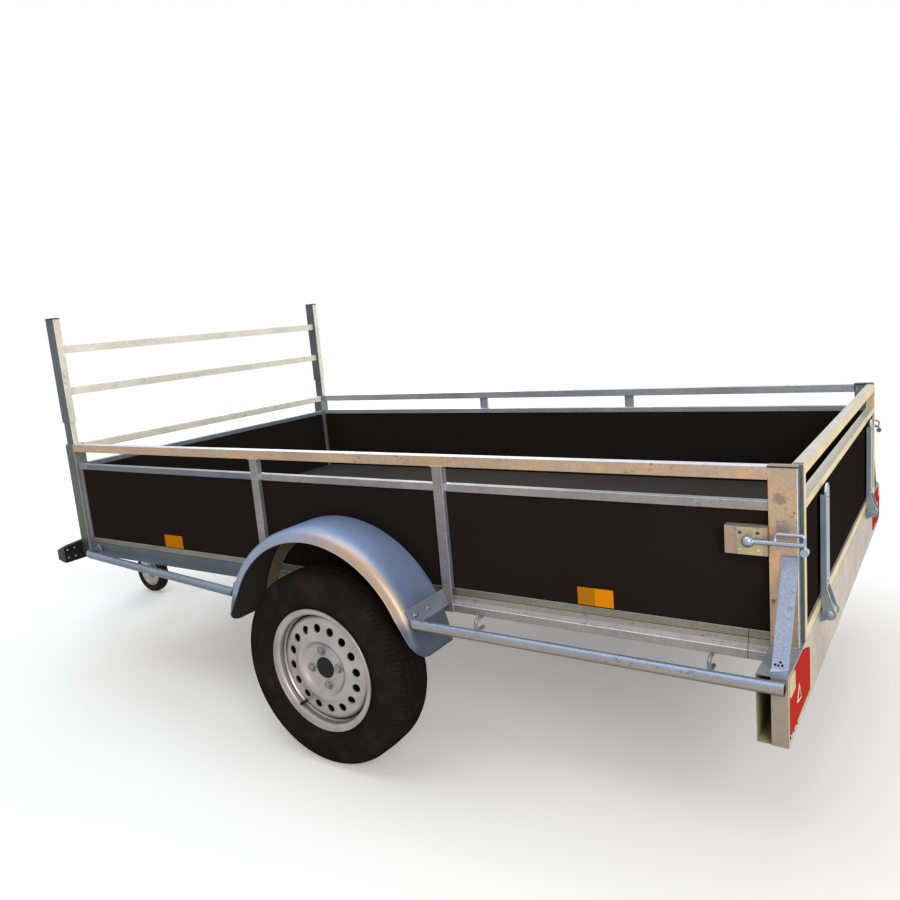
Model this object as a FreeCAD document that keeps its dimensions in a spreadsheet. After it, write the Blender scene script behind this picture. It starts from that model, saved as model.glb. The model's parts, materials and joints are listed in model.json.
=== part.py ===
import FreeCAD
import Part
import math
import os
from types import SimpleNamespace

import Sketcher
from FreeCAD import Placement, Rotation, Vector

# Single axle utility trailer with plywood sides, a ladder rack, a tailgate and a jockey wheel.
# Frame of the part: X forward to the coupling, Y to the left, Z up, all lengths in millimetres.
# The origin is on the ground, in the middle of the trailer's length and width.

SIZES = {
    # Box
    "box_len": 2610,
    "box_wid": 1440,
    "rail_top": 879,
    "rail_tall": 28,
    "rail_deep": 28,
    "mid_rail_top": 803,
    "mid_rail_tall": 20,
    "mid_rail_deep": 20,
    "mid_rail_inset": 7,
    "tube_wall": 2,
    "panel_thick": 12,
    "floor_top": 512,
    "floor_thick": 12,
    "upright_wide": 30,
    "upright_plate": 3,
    "panel_rear_gap": 30,
    "floor_rear_gap": 24,
    "upright_rear_at": 875,
    "upright_front_at": 1573,
    "stile_wide": 18,
    "stile_deep": 6,
    # Chassis side members
    "sill_wall": 2.5,
    "sill_bottom": 446,
    "sill_lip_top": 512,
    "sill_lip_low": 493,
    "sill_ledge_low": 468,
    "sill_lip_inset": 13,
    "sill_ledge_inset": 3,
    "sill_flange": 35,
    "cross_wide": 40,
    "cross_wall": 3,
    # Corner posts
    "front_post": 50,
    "post_wall": 3,
    "rear_post_wide": 58,
    "rear_post_deep": 22,
    "cap_thick": 3,
    # Ladder rack
    "stub_size": 35,
    "stub_above": 321,
    "ladder_size": 40,
    "ladder_fit": 0.5,
    "ladder_under": 387.5,
    "ladder_above": 150,
    "crossbar_tall": 28,
    "crossbar_deep": 20,
    "crossbar_upper_under": 99,
    "crossbar_lower_under": 257,
    "ladder_cap_tall": 5,
    # Light board and what it carries
    "board_top": 487,
    "board_bottom": 339,
    "board_half": 866,
    "board_behind": 5,
    "board_wall": 2.5,
    "board_plate_wide": 34,
    "board_plate_thick": 3,
    "brace_wide": 33,
    "brace_thick": 5,
    "brace_top": 690,
    "brace_tab": 30,
    "brace_foot": 30,
    "lamp_wide": 214,
    "lamp_drop": 4,
    "lamp_tall": 118,
    "lamp_proud": 3,
    "lamp_edge": 8,
    "lamp_corner_wide": 62,
    "lamp_corner_tall": 20,
    # Side tubes
    "side_tube_dia": 27,
    "side_tube_wall": 2.6,
    "side_tube_inset": 22,
    "side_tube_z": 471,
    "front_tube_y": 775,
    "front_tube_back": 110,
    "front_tube_bend": 45,
    # Fenders
    "fender_radius": 360,
    "fender_rise": 52,
    "fender_clear": 17,
    "fender_wide": 165,
    "fender_lip": 34,
    "fender_flange": 38,
    "fender_roll": 16,
    "roll_middle_angle": 45,
    "fender_wall": 2,
    "fender_end_angle": 6.3,
    "fender_corner": 55,
    "strip_tall": 46,
    "strip_thick": 4,
    "strip_z": 488,
    # Wheels and axle
    "wheel_x": 1228,
    "wheel_radius": 287,
    "wheel_middle": 829,
    "tyre_half": 79,
    "tyre_tread_half": 60,
    "tyre_shoulder": 12,
    "shoulder_ease": 3,
    "tyre_bulge": 215,
    "rim_flange": 182.4,
    "rim_seat": 165,
    "rim_well": 156,
    "rim_well_slope": 14.5,
    "rim_half": 66,
    "rim_flange_thick": 8,
    "rim_wall": 4,
    "disc_offset": 39,
    "disc_wall": 4,
    "disc_bore": 31.5,
    "disc_floor": 70,
    "disc_slope": 80,
    "disc_slope_rise": 9,
    "disc_crest": 88,
    "disc_crest_rise": 13.5,
    "disc_saddle": 102,
    "disc_saddle_rise": 9.5,
    "vent_rise": 5.5,
    "disc_shoulder": 148,
    "disc_shoulder_rise": 3,
    "disc_edge_deep": 24,
    "vent_radius": 12.5,
    "vent_circle": 119.8,
    "vent_count": 16,
    "hub_radius": 62,
    "hub_flange": 12,
    "hub_barrel": 38,
    "hub_inner": 100,
    "hub_cap_deep": 6.5,
    "stub_axle_radius": 17,
    "axle_fit": 0.5,
    "beam_size": 70,
    "beam_half": 600,
    "beam_ahead": 100,
    "arm_thick": 35,
    "arm_eye": 34,
    # Tailgate
    "gate_gap": 6,
    "gate_behind": 7,
    "gate_thick": 25,
    "gate_bottom": 493,
    "gate_rail_tall": 25,
    "gate_mid_top": 799.5,
    "gate_mid_tall": 20,
    "gate_low_tall": 25,
    "strap_at": 465,
    "strap_wide": 46,
    "strap_out": 13,
    "strap_wall": 4,
    "strap_top": 790,
    "pin_behind": 25,
    "pin_z": 481,
    "pin_radius": 6,
    "pin_head": 8,
    "pin_head_tall": 4,
    "eye_radius": 15,
    "lug_radius": 12,
    "lug_fit": 0.3,
    "lug_side_gap": 1,
    # Latches
    "latch_block_from": 55,
    "latch_block_long": 91,
    "latch_block_low": 689,
    "latch_block_tall": 61,
    "latch_block_deep": 25,
    "latch_plate_thick": 2.5,
    "latch_plate_long": 62,
    "latch_knob_at": 95,
    "latch_knob_z": 722,
    "latch_knob_radius": 13,
    "latch_rod_radius": 5,
    "latch_rod_y": 742,
    "latch_rod_back": 16,
    "latch_bar_radius": 3.5,
    "latch_bar_from": 41,
    "latch_bar_rise": 20,
    "latch_bar_bend": 7,
    "latch_tip_radius": 8,
    "latch_tip_drop": 14,
    # Small parts on the sides
    "amber_long": 92,
    "amber_tall": 44,
    "amber_thick": 5,
    "amber_low": 516,
    "amber_rear_at": 416,
    "amber_front_at": 2008,
    "hook_radius": 5,
    "hook_root": 27,
    "hook_reach": 46,
    "hook_tall": 32,
    "hook_bend": 12,
    "hook_tip": 38,
    "hook_rear_at": 185,
    "hook_front_at": 795,
    "marker_inside": 37,
    "marker_long": 126,
    "marker_low": 427,
    "marker_tall": 74,
    "marker_deep": 24,
    "marker_corner": 18,
    # Drawbar, coupling and jockey wheel
    "drawbar_size": 60,
    "drawbar_wall": 3,
    "drawbar_reach": 900,
    "stay_short": 90,
    "stay_wide": 40,
    "stay_rise": 15,
    "coupling_long": 210,
    "coupling_wall": 6,
    "ball_radius": 25.4,
    "ball_skirt": 18,
    "coupling_tall": 46,
    "handle_long": 150,
    "handle_wide": 22,
    "handle_tall": 14,
    "jockey_back": 330,
    "jockey_radius": 24,
    "jockey_top": 640,
    "jockey_tube_bottom": 360,
    "jockey_inner_radius": 20,
    "jockey_inner_bottom": 232,
    "jockey_fit": 0.5,
    "jockey_stroke": 120,
    "clamp_thick": 40,
    "clamp_ring": 8,
    "clamp_gap": 10,
    "fork_plate": 5,
    "fork_trail": 45,
    "fork_head_radius": 26,
    "castor_radius": 100,
    "castor_wide": 50,
    "castor_fit": 2,
    "castor_pin": 8,
    "swivel_gap": 0.3,
    "crank_radius": 90,
    "crank_rod": 7,
    "crank_boss": 18,
    "crank_grip": 11,
    "crank_grip_long": 60,
    # One overrun serves every cut
    "overrun": 5,
}

doc = FreeCAD.newDocument("UtilityTrailer")
sheet = doc.addObject("Spreadsheet::Sheet", "Sizes")
for row, (alias, amount) in enumerate(SIZES.items(), start=1):
    sheet.set(f"A{row}", alias)
    sheet.set(f"B{row}", str(amount))
    sheet.setAlias(f"B{row}", alias)
doc.recompute()


class Size:
    """A length that knows its number and the expression that gives it from the sheet."""

    def __init__(self, number, text):
        self.number = number
        self.text = text

    @staticmethod
    def of(other):
        return other if isinstance(other, Size) else Size(other, repr(other))

    def joined(self, other, sign, number):
        return Size(number, f"({self.text} {sign} {Size.of(other).text})")

    def __add__(self, other):
        return self.joined(other, "+", self.number + Size.of(other).number)

    def __sub__(self, other):
        return self.joined(other, "-", self.number - Size.of(other).number)

    def __mul__(self, other):
        return self.joined(other, "*", self.number * Size.of(other).number)

    def __truediv__(self, other):
        return self.joined(other, "/", self.number / Size.of(other).number)

    def __radd__(self, other):
        return Size.of(other) + self

    def __rsub__(self, other):
        return Size.of(other) - self

    def __rmul__(self, other):
        return Size.of(other) * self

    def __neg__(self):
        return Size(-self.number, f"(0 - {self.text})")


mm = SimpleNamespace(**{alias: Size(sheet.get(alias), f"Sizes.{alias}") for alias in SIZES})
ZERO = Size(0, "0")


def cosine(angle):
    return Size(math.cos(math.radians(angle.number)), f"cos({angle.text} * 1 deg)")


def sine(angle):
    return Size(math.sin(math.radians(angle.number)), f"sin({angle.text} * 1 deg)")


def root(square):
    return Size(math.sqrt(square.number), f"sqrt({square.text})")


# Places worked out from the sizes
pin_x = -mm.pin_behind
tail_reach = mm.pin_behind + mm.eye_radius
whole_len = tail_reach + mm.box_len + mm.drawbar_reach + mm.coupling_long
rear_x = tail_reach - whole_len / 2
front_x = rear_x + mm.box_len
half_wid = mm.box_wid / 2
lip_face = half_wid - mm.sill_lip_inset
panel_outer = lip_face - mm.sill_wall
panel_inner = panel_outer - mm.panel_thick
sill_outer = half_wid - mm.sill_ledge_inset
mid_rail_low = mm.mid_rail_top - mm.mid_rail_tall
rail_low = mm.rail_top - mm.rail_tall
floor_low = mm.floor_top - mm.floor_thick
chassis_rear = rear_x + mm.rear_post_wide
chassis_front = front_x - mm.front_post
post_middle = half_wid - mm.front_post / 2
post_x = front_x - mm.front_post / 2
drawbar_top = mm.sill_bottom + mm.sill_wall
drawbar_low = drawbar_top - mm.drawbar_size
wheel_x = rear_x + mm.wheel_x
wheel_z = mm.wheel_radius
beam_x = wheel_x + mm.beam_ahead
beam_z = drawbar_top - mm.beam_size / 2
nose_x = front_x + mm.drawbar_reach + mm.coupling_long
drawbar_end = front_x + mm.drawbar_reach
fender_z = wheel_z + mm.fender_rise
fender_inner = half_wid + mm.fender_clear
fender_outer = fender_inner + mm.fender_wide
side_tube_y = fender_outer - mm.side_tube_inset
strip_rise = mm.strip_z - fender_z
strip_radius = mm.fender_radius + mm.strip_thick
strip_reach = root(strip_radius * strip_radius - strip_rise * strip_rise)
jockey_x = drawbar_end - mm.jockey_back
jockey_y = mm.drawbar_size / 2 + mm.clamp_gap + mm.clamp_ring + mm.jockey_radius
gate_rear = rear_x - mm.gate_behind
gate_front = gate_rear + mm.gate_thick
gate_half = half_wid - mm.rear_post_deep - mm.gate_gap
stay_tip = jockey_x - mm.stay_short
stub_top = mm.rail_top + mm.stub_above
ladder_top = stub_top + mm.ladder_above
ladder_bottom = ladder_top - mm.ladder_under
marker_inner = half_wid - mm.marker_inside
LEFT, RIGHT = 1, -1
SIDES = {"left": LEFT, "right": RIGHT}


def bind(item, prop, size):
    item.setExpression(prop, Size.of(size).text)


def place(item, x, y, z):
    bind(item, "Placement.Base.x", x)
    bind(item, "Placement.Base.y", y)
    bind(item, "Placement.Base.z", z)
    return item


def turned(item, axis, angle):
    """Turn a piece by a fixed quarter or half turn."""
    item.Placement = Placement(Vector(), Rotation(axis, angle))
    return item


def to_side(side, span):
    """The span on the left side, or its mirror image on the right side."""
    low, high = span
    return (low, high) if side == LEFT else (-high, -low)


def block(x, y, z):
    """A box that fills three spans."""
    box = doc.addObject("Part::Box", "Block")
    bind(box, "Length", x[1] - x[0])
    bind(box, "Width", y[1] - y[0])
    bind(box, "Height", z[1] - z[0])
    return place(box, x[0], y[0], z[0])


def rod(radius, length, x, y, z, along="z"):
    """A cylinder that starts at a point and runs along one axis."""
    cylinder = doc.addObject("Part::Cylinder", "Rod")
    bind(cylinder, "Radius", radius)
    bind(cylinder, "Height", length)
    if along == "x":
        turned(cylinder, Vector(0, 1, 0), 90)
    if along == "y":
        turned(cylinder, Vector(1, 0, 0), -90)
    return place(cylinder, x, y, z)


def cut(base, *tools):
    piece = doc.addObject("Part::Cut", "Cut")
    piece.Base = base
    piece.Tool = tools[0] if len(tools) == 1 else fuse(*tools)
    return piece


def fuse(*pieces):
    joined = doc.addObject("Part::MultiFuse", "Fuse")
    joined.Shapes = list(pieces)
    return joined


def group(*pieces):
    """Like pieces that don't touch, kept in one node."""
    together = doc.addObject("Part::Compound", "Group")
    together.Links = list(pieces)
    return together


def square_tube(x, y, z, along, wall):
    """A rectangular tube, open at both ends, that runs along one axis."""
    spans = {"x": x, "y": y, "z": z}
    inner = {}
    for axis, (low, high) in spans.items():
        grow = mm.overrun if axis == along else -wall
        inner[axis] = (low - grow, high + grow)
    return cut(block(x, y, z), block(inner["x"], inner["y"], inner["z"]))


def ring(outer, inner, length, x, y, z, along="z"):
    """A round tube that starts at a point and runs along one axis."""
    shift = {axis: ZERO for axis in "xyz"}
    shift[along] = mm.overrun
    bore = rod(inner, length + mm.overrun * 2, x - shift["x"], y - shift["y"], z - shift["z"], along)
    return cut(rod(outer, length, x, y, z, along), bore)


def plane_of(body, role):
    return next(item for item in body.Origin.OriginFeatures if item.Role == role)


def outlined(body, role, *outlines):
    """A sketch on one of the body's own planes, with one closed polygon for each outline."""
    sketch = body.newObject("Sketcher::SketchObject", "Outline")
    sketch.AttachmentSupport = [(plane_of(body, role), "")]
    sketch.MapMode = "FlatFace"
    for corners in outlines:
        first = sketch.GeometryCount
        count = len(corners)
        dots = [Vector(Size.of(u).number, Size.of(v).number, 0) for u, v in corners]
        for index in range(count):
            sketch.addGeometry(Part.LineSegment(dots[index], dots[(index + 1) % count]), False)
        for index in range(count):
            here = first + index
            after = first + (index + 1) % count
            sketch.addConstraint(Sketcher.Constraint("Coincident", here, 2, after, 1))
        for index, (u, v) in enumerate(corners):
            for kind, axis_line, size in (("DistanceX", -2, Size.of(u)), ("DistanceY", -1, Size.of(v))):
                here = first + index
                if size.text == "0":
                    sketch.addConstraint(Sketcher.Constraint("PointOnObject", here, 1, axis_line))
                    continue
                number = sketch.addConstraint(Sketcher.Constraint(kind, -1, 1, here, 1, size.number))
                sketch.setExpression(f"Constraints[{number}]", size.text)
    return sketch


def prism(role, outlines, low, high):
    """Closed outlines on a plane of the body, raised from one height to another across that plane."""
    body = doc.addObject("PartDesign::Body", "Profile")
    sketch = outlined(body, role, *outlines)
    pad = body.newObject("PartDesign::Pad", "Pad")
    pad.Profile = sketch
    bind(pad, "Length", high - low)
    if role == "XY_Plane":
        return place(body, ZERO, ZERO, low)
    if role == "YZ_Plane":
        return place(body, low, ZERO, ZERO)
    return place(body, ZERO, high, ZERO)


def lathe(outlines, x, y, z, side=LEFT):
    """Outlines turned about an axle along Y: each corner is a radius and a distance outward."""
    body = doc.addObject("PartDesign::Body", "Turned")
    drawn = [[(radius, side * Size.of(out)) for radius, out in corners] for corners in outlines]
    sketch = outlined(body, "XY_Plane", *drawn)
    feature = body.newObject("PartDesign::Revolution", "Revolution")
    feature.Profile = sketch
    feature.ReferenceAxis = (sketch, ["V_Axis"])
    feature.Angle = 360
    return place(body, x, y, z)


NODES = {}


def node(name, piece):
    piece.Label = name
    NODES[name] = piece
    return piece


def sills():
    return group(*[sill(side) for side in SIDES.values()])


def sill(side):
    """Folded side member: upper lip, sloped ledge, lower lip and a flange that carries the cross tubes."""
    wall = mm.sill_wall
    lip = lip_face
    outer = sill_outer
    flange = outer - mm.sill_flange
    corners = [
        (lip, mm.sill_lip_top),
        (lip, mm.sill_lip_low),
        (outer, mm.sill_ledge_low),
        (outer, mm.sill_bottom),
        (flange, mm.sill_bottom),
        (flange, mm.sill_bottom + wall),
        (outer - wall, mm.sill_bottom + wall),
        (outer - wall, mm.sill_ledge_low - wall / 2),
        (lip - wall, mm.sill_lip_low - wall / 2),
        (lip - wall, mm.sill_lip_top),
    ]
    return prism("YZ_Plane", [[(side * u, v) for u, v in corners]], chassis_rear, chassis_front)


def cross_members():
    """Cross tubes between the side members, standing on their flanges."""
    low = mm.sill_bottom + mm.sill_wall
    centres = [chassis_rear + mm.cross_wide / 2, beam_x, chassis_front - mm.cross_wide / 2]
    centres.insert(1, (centres[0] + beam_x) / 2)
    centres.insert(3, (centres[3] + beam_x) / 2)
    half = panel_outer
    tubes = []
    for middle in centres:
        x = (middle - mm.cross_wide / 2, middle + mm.cross_wide / 2)
        tubes.append(square_tube(x, (-half, half), (low, floor_low), "y", mm.cross_wall))
    return group(*tubes)


def panels():
    """Plywood floor, sides and headboard."""
    low = floor_low
    top = mid_rail_low
    floor_x = (rear_x + mm.floor_rear_gap, chassis_front)
    side_x = (rear_x + mm.panel_rear_gap, chassis_front)
    node("floor_panel", block(floor_x, (-panel_inner, panel_inner), (low, mm.floor_top)))
    for name, side in SIDES.items():
        node(f"side_panel_{name}", block(side_x, to_side(side, (panel_inner, panel_outer)), (low, top)))
    half = half_wid - mm.front_post
    front = (chassis_front, chassis_front + mm.panel_thick)
    node("front_panel", block(front, (-half, half), (low, top)))


def upright(side, at):
    """Channel over the panel: an outer plate down to the side member's foot and two flanges."""
    x0 = rear_x + at
    x1 = x0 + mm.upright_wide
    plate = block((x0, x1), to_side(side, (sill_outer, half_wid)), (mm.sill_bottom, rail_low))
    flange_y = to_side(side, (panel_outer, sill_outer))
    z = (mm.sill_lip_top, rail_low)
    wall = mm.upright_plate
    return fuse(plate, block((x0, x0 + wall), flange_y, z), block((x1 - wall, x1), flange_y, z))


def side_frame(side):
    """Upper rail, middle rail on the panel's edge, two uprights and the stile at the front."""
    x = (rear_x + mm.rear_post_wide, chassis_front)
    upper = square_tube(x, to_side(side, (half_wid - mm.rail_deep, half_wid)), (rail_low, mm.rail_top), "x",
                        mm.tube_wall)
    mid_y = to_side(side, (half_wid - mm.mid_rail_inset - mm.mid_rail_deep, half_wid - mm.mid_rail_inset))
    middle = square_tube(x, mid_y, (mid_rail_low, mm.mid_rail_top), "x", mm.tube_wall)
    uprights = [upright(side, at) for at in (mm.upright_rear_at, mm.upright_front_at)]
    stile_x = (chassis_front - mm.stile_wide, chassis_front)
    stile = block(stile_x, to_side(side, (panel_outer, panel_outer + mm.stile_deep)),
                  (mm.sill_lip_top, mm.mid_rail_top))
    return fuse(upper, middle, stile, *uprights)


def front_frame():
    """Upper rail and panel rail of the headboard, between the front posts."""
    half = half_wid - mm.front_post
    upper_x = (chassis_front, chassis_front + mm.rail_deep)
    lower_x = (chassis_front, chassis_front + mm.mid_rail_deep)
    upper = square_tube(upper_x, (-half, half), (rail_low, mm.rail_top), "y", mm.tube_wall)
    lower = square_tube(lower_x, (-half, half), (mid_rail_low, mm.mid_rail_top), "y", mm.tube_wall)
    return group(upper, lower)


def front_posts():
    return group(*[front_post(side) for side in SIDES.values()])


def front_post(side):
    """Square corner post with a closed top on which the ladder stub stands."""
    x = (front_x - mm.front_post, front_x)
    y = to_side(side, (half_wid - mm.front_post, half_wid))
    tube = square_tube(x, y, (mm.sill_bottom, mm.rail_top - mm.cap_thick), "z", mm.post_wall)
    return fuse(tube, block(x, y, (mm.rail_top - mm.cap_thick, mm.rail_top)))


def rear_posts():
    return group(*[rear_post(side) for side in SIDES.values()])


def rear_post(side):
    """Folded corner post: wide outer face, narrow rear face and a return lip, closed by a cap."""
    wall = mm.post_wall
    inner = half_wid - mm.rear_post_deep
    x0 = rear_x
    x1 = rear_x + mm.rear_post_wide
    corners = [
        (x0, half_wid),
        (x1, half_wid),
        (x1, panel_outer),
        (x1 - wall, panel_outer),
        (x1 - wall, half_wid - wall),
        (x0 + wall, half_wid - wall),
        (x0 + wall, inner),
        (x0, inner),
    ]
    top = mm.rail_top - mm.cap_thick
    folded = prism("XY_Plane", [[(u, side * v) for u, v in corners]], mm.board_top, top)
    cap = block((x0, x1), to_side(side, (inner, half_wid)), (top, mm.rail_top))
    return fuse(folded, cap)


def ladder_stubs():
    """Inner tubes that stand on the front posts and guide the ladder rack."""
    stubs = []
    half = mm.stub_size / 2
    for side in SIDES.values():
        y = to_side(side, (post_middle - half, post_middle + half))
        stubs.append(square_tube((post_x - half, post_x + half), y, (mm.rail_top, stub_top), "z",
                                 mm.tube_wall))
    return group(*stubs)


def ladder_rack():
    """Two outer tubes that slide on the stubs, joined by two cross bars."""
    half = mm.ladder_size / 2
    wall = half - mm.stub_size / 2 - mm.ladder_fit
    pieces = []
    for side in SIDES.values():
        y = to_side(side, (post_middle - half, post_middle + half))
        pieces.append(square_tube((post_x - half, post_x + half), y, (ladder_bottom, ladder_top), "z",
                                  wall))
    reach = post_middle - half
    deep = mm.crossbar_deep / 2
    for under in (mm.crossbar_lower_under, mm.crossbar_upper_under):
        top = ladder_top - under
        z = (top - mm.crossbar_tall, top)
        pieces.append(square_tube((post_x - deep, post_x + deep), (-reach, reach), z, "y", mm.tube_wall))
    return fuse(*pieces)


def ladder_caps():
    half = mm.ladder_size / 2
    caps = []
    for side in SIDES.values():
        y = to_side(side, (post_middle - half, post_middle + half))
        z = (ladder_top, ladder_top + mm.ladder_cap_tall)
        caps.append(block((post_x - half, post_x + half), y, z))
    return group(*caps)


def light_board():
    """Wide box section across the rear, with a plate over the rear half of each open end."""
    x0 = rear_x - mm.board_behind
    z = (mm.board_bottom, mm.board_top)
    half = mm.board_half - mm.board_plate_thick
    section = square_tube((x0, chassis_rear), (-half, half), z, "y", mm.board_wall)
    plates = []
    for side in SIDES.values():
        plate_x = (x0, x0 + mm.board_plate_wide)
        plates.append(block(plate_x, to_side(side, (half, mm.board_half)), z))
    return fuse(section, *plates)


def board_braces():
    """Flat bars bent at both ends, from the rear posts down to the top of the light board."""
    braces = []
    thick = mm.brace_thick
    top = mm.brace_top
    bend = top - mm.brace_tab
    low = mm.board_top
    toe = mm.board_half - mm.board_plate_thick
    heel = toe - mm.brace_foot
    run = heel - half_wid
    drop = bend - low
    slant = root(run * run + drop * drop)
    lift = thick * (slant - drop) / run
    shift = thick * (slant - run) / drop
    for side in SIDES.values():
        corners = [
            (half_wid, top),
            (half_wid + thick, top),
            (half_wid + thick, bend + lift),
            (heel + shift, low + thick),
            (toe, low + thick),
            (toe, low),
            (heel, low),
            (half_wid, bend),
        ]
        outline = [(side * u, v) for u, v in corners]
        braces.append(prism("YZ_Plane", [outline], rear_x, rear_x + mm.brace_wide))
    return group(*braces)


def tail_lamps():
    """Wide flat lamps at the ends of the light board, each with its upper inner corner cut off."""
    lamps = []
    face = rear_x - mm.board_behind
    outer = mm.board_half - mm.lamp_edge
    inner = outer - mm.lamp_wide
    top = mm.board_top - mm.lamp_drop
    low = top - mm.lamp_tall
    for side in SIDES.values():
        corners = [
            (side * outer, low),
            (side * outer, top),
            (side * (inner + mm.lamp_corner_wide), top),
            (side * inner, top - mm.lamp_corner_tall),
            (side * inner, low),
        ]
        lamps.append(prism("YZ_Plane", [corners], face - mm.lamp_proud, face))
    return group(*lamps)


def side_reflectors():
    pieces = []
    face = panel_outer
    for side in SIDES.values():
        for at in (mm.amber_rear_at, mm.amber_front_at):
            x = (rear_x + at, rear_x + at + mm.amber_long)
            y = to_side(side, (face, face + mm.amber_thick))
            pieces.append(block(x, y, (mm.amber_low, mm.amber_low + mm.amber_tall)))
    return group(*pieces)


def front_lamps():
    """Marker lamp housings on the front faces of the front posts, reaching out past the corners."""
    pieces = []
    corner = mm.marker_corner
    low = mm.marker_low
    top = low + mm.marker_tall
    inner = marker_inner
    outer = inner + mm.marker_long
    for side in SIDES.values():
        corners = [
            (inner, low),
            (inner, top),
            (outer - corner * 2, top - corner / 2),
            (outer, top - corner),
            (outer, low + corner),
            (outer - corner, low),
        ]
        outline = [(side * u, v) for u, v in corners]
        pieces.append(prism("YZ_Plane", [outline], front_x, front_x + mm.marker_deep))
    return group(*pieces)


def bent_bar(points, radius):
    """A round bar along straight runs joined by tangent arcs, from numbers in millimetres."""
    corners = [Vector(*point[:3]) for point in points]
    bends = [point[3] if len(point) > 3 else 0 for point in points]
    edges = []
    start = corners[0]
    for before, corner, after, bend in zip(corners, corners[1:], corners[2:], bends[1:]):
        back = (before - corner).normalize()
        ahead = (after - corner).normalize()
        half = back.getAngle(ahead) / 2
        trim = bend / math.tan(half)
        entry = corner + back * trim
        leave = corner + ahead * trim
        middle_way = (back + ahead).normalize()
        middle = corner + middle_way * (bend / math.sin(half) - bend)
        edges.append(Part.makeLine(start, entry))
        edges.append(Part.Arc(entry, middle, leave).toShape())
        start = leave
    edges.append(Part.makeLine(start, corners[-1]))
    path = Part.Wire(edges)
    circle = Part.Wire(Part.makeCircle(radius, corners[0], corners[1] - corners[0]))
    return path.makePipeShell([circle], True, False)


def shaped(shape):
    piece = doc.addObject("Part::Feature", "Shaped")
    piece.Shape = shape
    return piece


def rope_hooks():
    """Hooks of round bar welded under the side members, bent out, down and back in."""
    hooks = []
    high = (mm.sill_bottom - mm.hook_radius).number
    low = high - mm.hook_tall.number
    bend = mm.hook_bend.number
    for side in SIDES.values():
        for at in (mm.hook_rear_at, mm.hook_front_at):
            x = (rear_x + at).number
            y = side * (sill_outer - mm.hook_root).number
            far = y + side * mm.hook_reach.number
            tip = far - side * mm.hook_tip.number
            points = [
                (x, y, high),
                (x, far, high, bend),
                (x, far, low, bend),
                (x, tip, low),
            ]
            hooks.append(shaped(bent_bar(points, mm.hook_radius.number)))
    return group(*hooks)


def side_tubes():
    """Round tubes along each side, from the fender strips to the light board and to the front corner."""
    radius = mm.side_tube_dia / 2
    x1 = (front_x - mm.front_tube_back).number
    z = mm.side_tube_z.number
    tubes = []
    for side in SIDES.values():
        rear = ring(radius, radius - mm.side_tube_wall, wheel_x - rear_x - strip_reach + radius, rear_x,
                    side * side_tube_y, mm.side_tube_z, "x")
        low, high = to_side(side, (half_wid, mm.board_half + mm.side_tube_dia * 2))
        cope = rod(strip_radius, high - low, wheel_x, low, fender_z, "y")
        tubes.append(cut(rear, cope))
        start = (wheel_x + strip_reach - radius).number
        points = [(start, side * side_tube_y.number, z),
                  (x1, side * mm.front_tube_y.number, z, mm.front_tube_bend.number),
                  (x1, side * sill_outer.number, z)]
        cope = rod(strip_radius, high - low, wheel_x, low, fender_z, "y")
        tubes.append(cut(shaped(bent_bar(points, radius.number)), cope))
    return group(*tubes)


def fender(side):
    """Rolled sheet over the wheel: turned down lip outside, flange inside, rounded outer corners."""
    wall = mm.fender_wall.number
    big = mm.fender_radius.number
    roll = mm.fender_roll.number
    centre = Vector(wheel_x.number, 0, fender_z.number)
    inner, outer = fender_inner.number, fender_outer.number
    lip = big - mm.fender_lip.number
    flange = big - mm.fender_flange.number

    def at(radius, y):
        return Vector(centre.x + radius, y, centre.z)

    diagonal = math.cos(math.radians(mm.roll_middle_angle.number))
    middle = roll - roll * diagonal
    middle_in = roll - (roll - wall) * diagonal
    edges = [
        Part.makeLine(at(flange, inner), at(big, inner)),
        Part.makeLine(at(big, inner), at(big, outer - roll)),
        Part.Arc(at(big, outer - roll), at(big - middle, outer - middle), at(big - roll, outer)).toShape(),
        Part.makeLine(at(big - roll, outer), at(lip, outer)),
        Part.makeLine(at(lip, outer), at(lip, outer - wall)),
        Part.makeLine(at(lip, outer - wall), at(big - roll, outer - wall)),
        Part.Arc(at(big - roll, outer - wall), at(big - middle_in, outer - middle_in),
                 at(big - wall, outer - roll)).toShape(),
        Part.makeLine(at(big - wall, outer - roll), at(big - wall, inner + wall)),
        Part.makeLine(at(big - wall, inner + wall), at(flange, inner + wall)),
        Part.makeLine(at(flange, inner + wall), at(flange, inner)),
    ]
    face = Part.Face(Part.Wire(edges))
    face.rotate(centre, Vector(0, 1, 0), -mm.fender_end_angle.number)
    shape = face.revolve(centre, Vector(0, 1, 0), -(180 - 2 * mm.fender_end_angle.number))
    if side == RIGHT:
        shape = shape.mirror(Vector(), Vector(0, 1, 0))
    end_z = fender_z + mm.fender_radius * sine(mm.fender_end_angle)
    corner = mm.fender_corner
    reach = mm.fender_radius + mm.overrun
    near = fender_outer - corner
    corner_y = to_side(side, (near, fender_outer + mm.overrun))
    square = block((wheel_x - reach, wheel_x + reach), corner_y, (fender_z, end_z + corner))
    round_part = rod(corner, reach * 2, wheel_x - reach, side * near, end_z + corner, "x")
    return cut(shaped(shape), cut(square, round_part))


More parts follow.
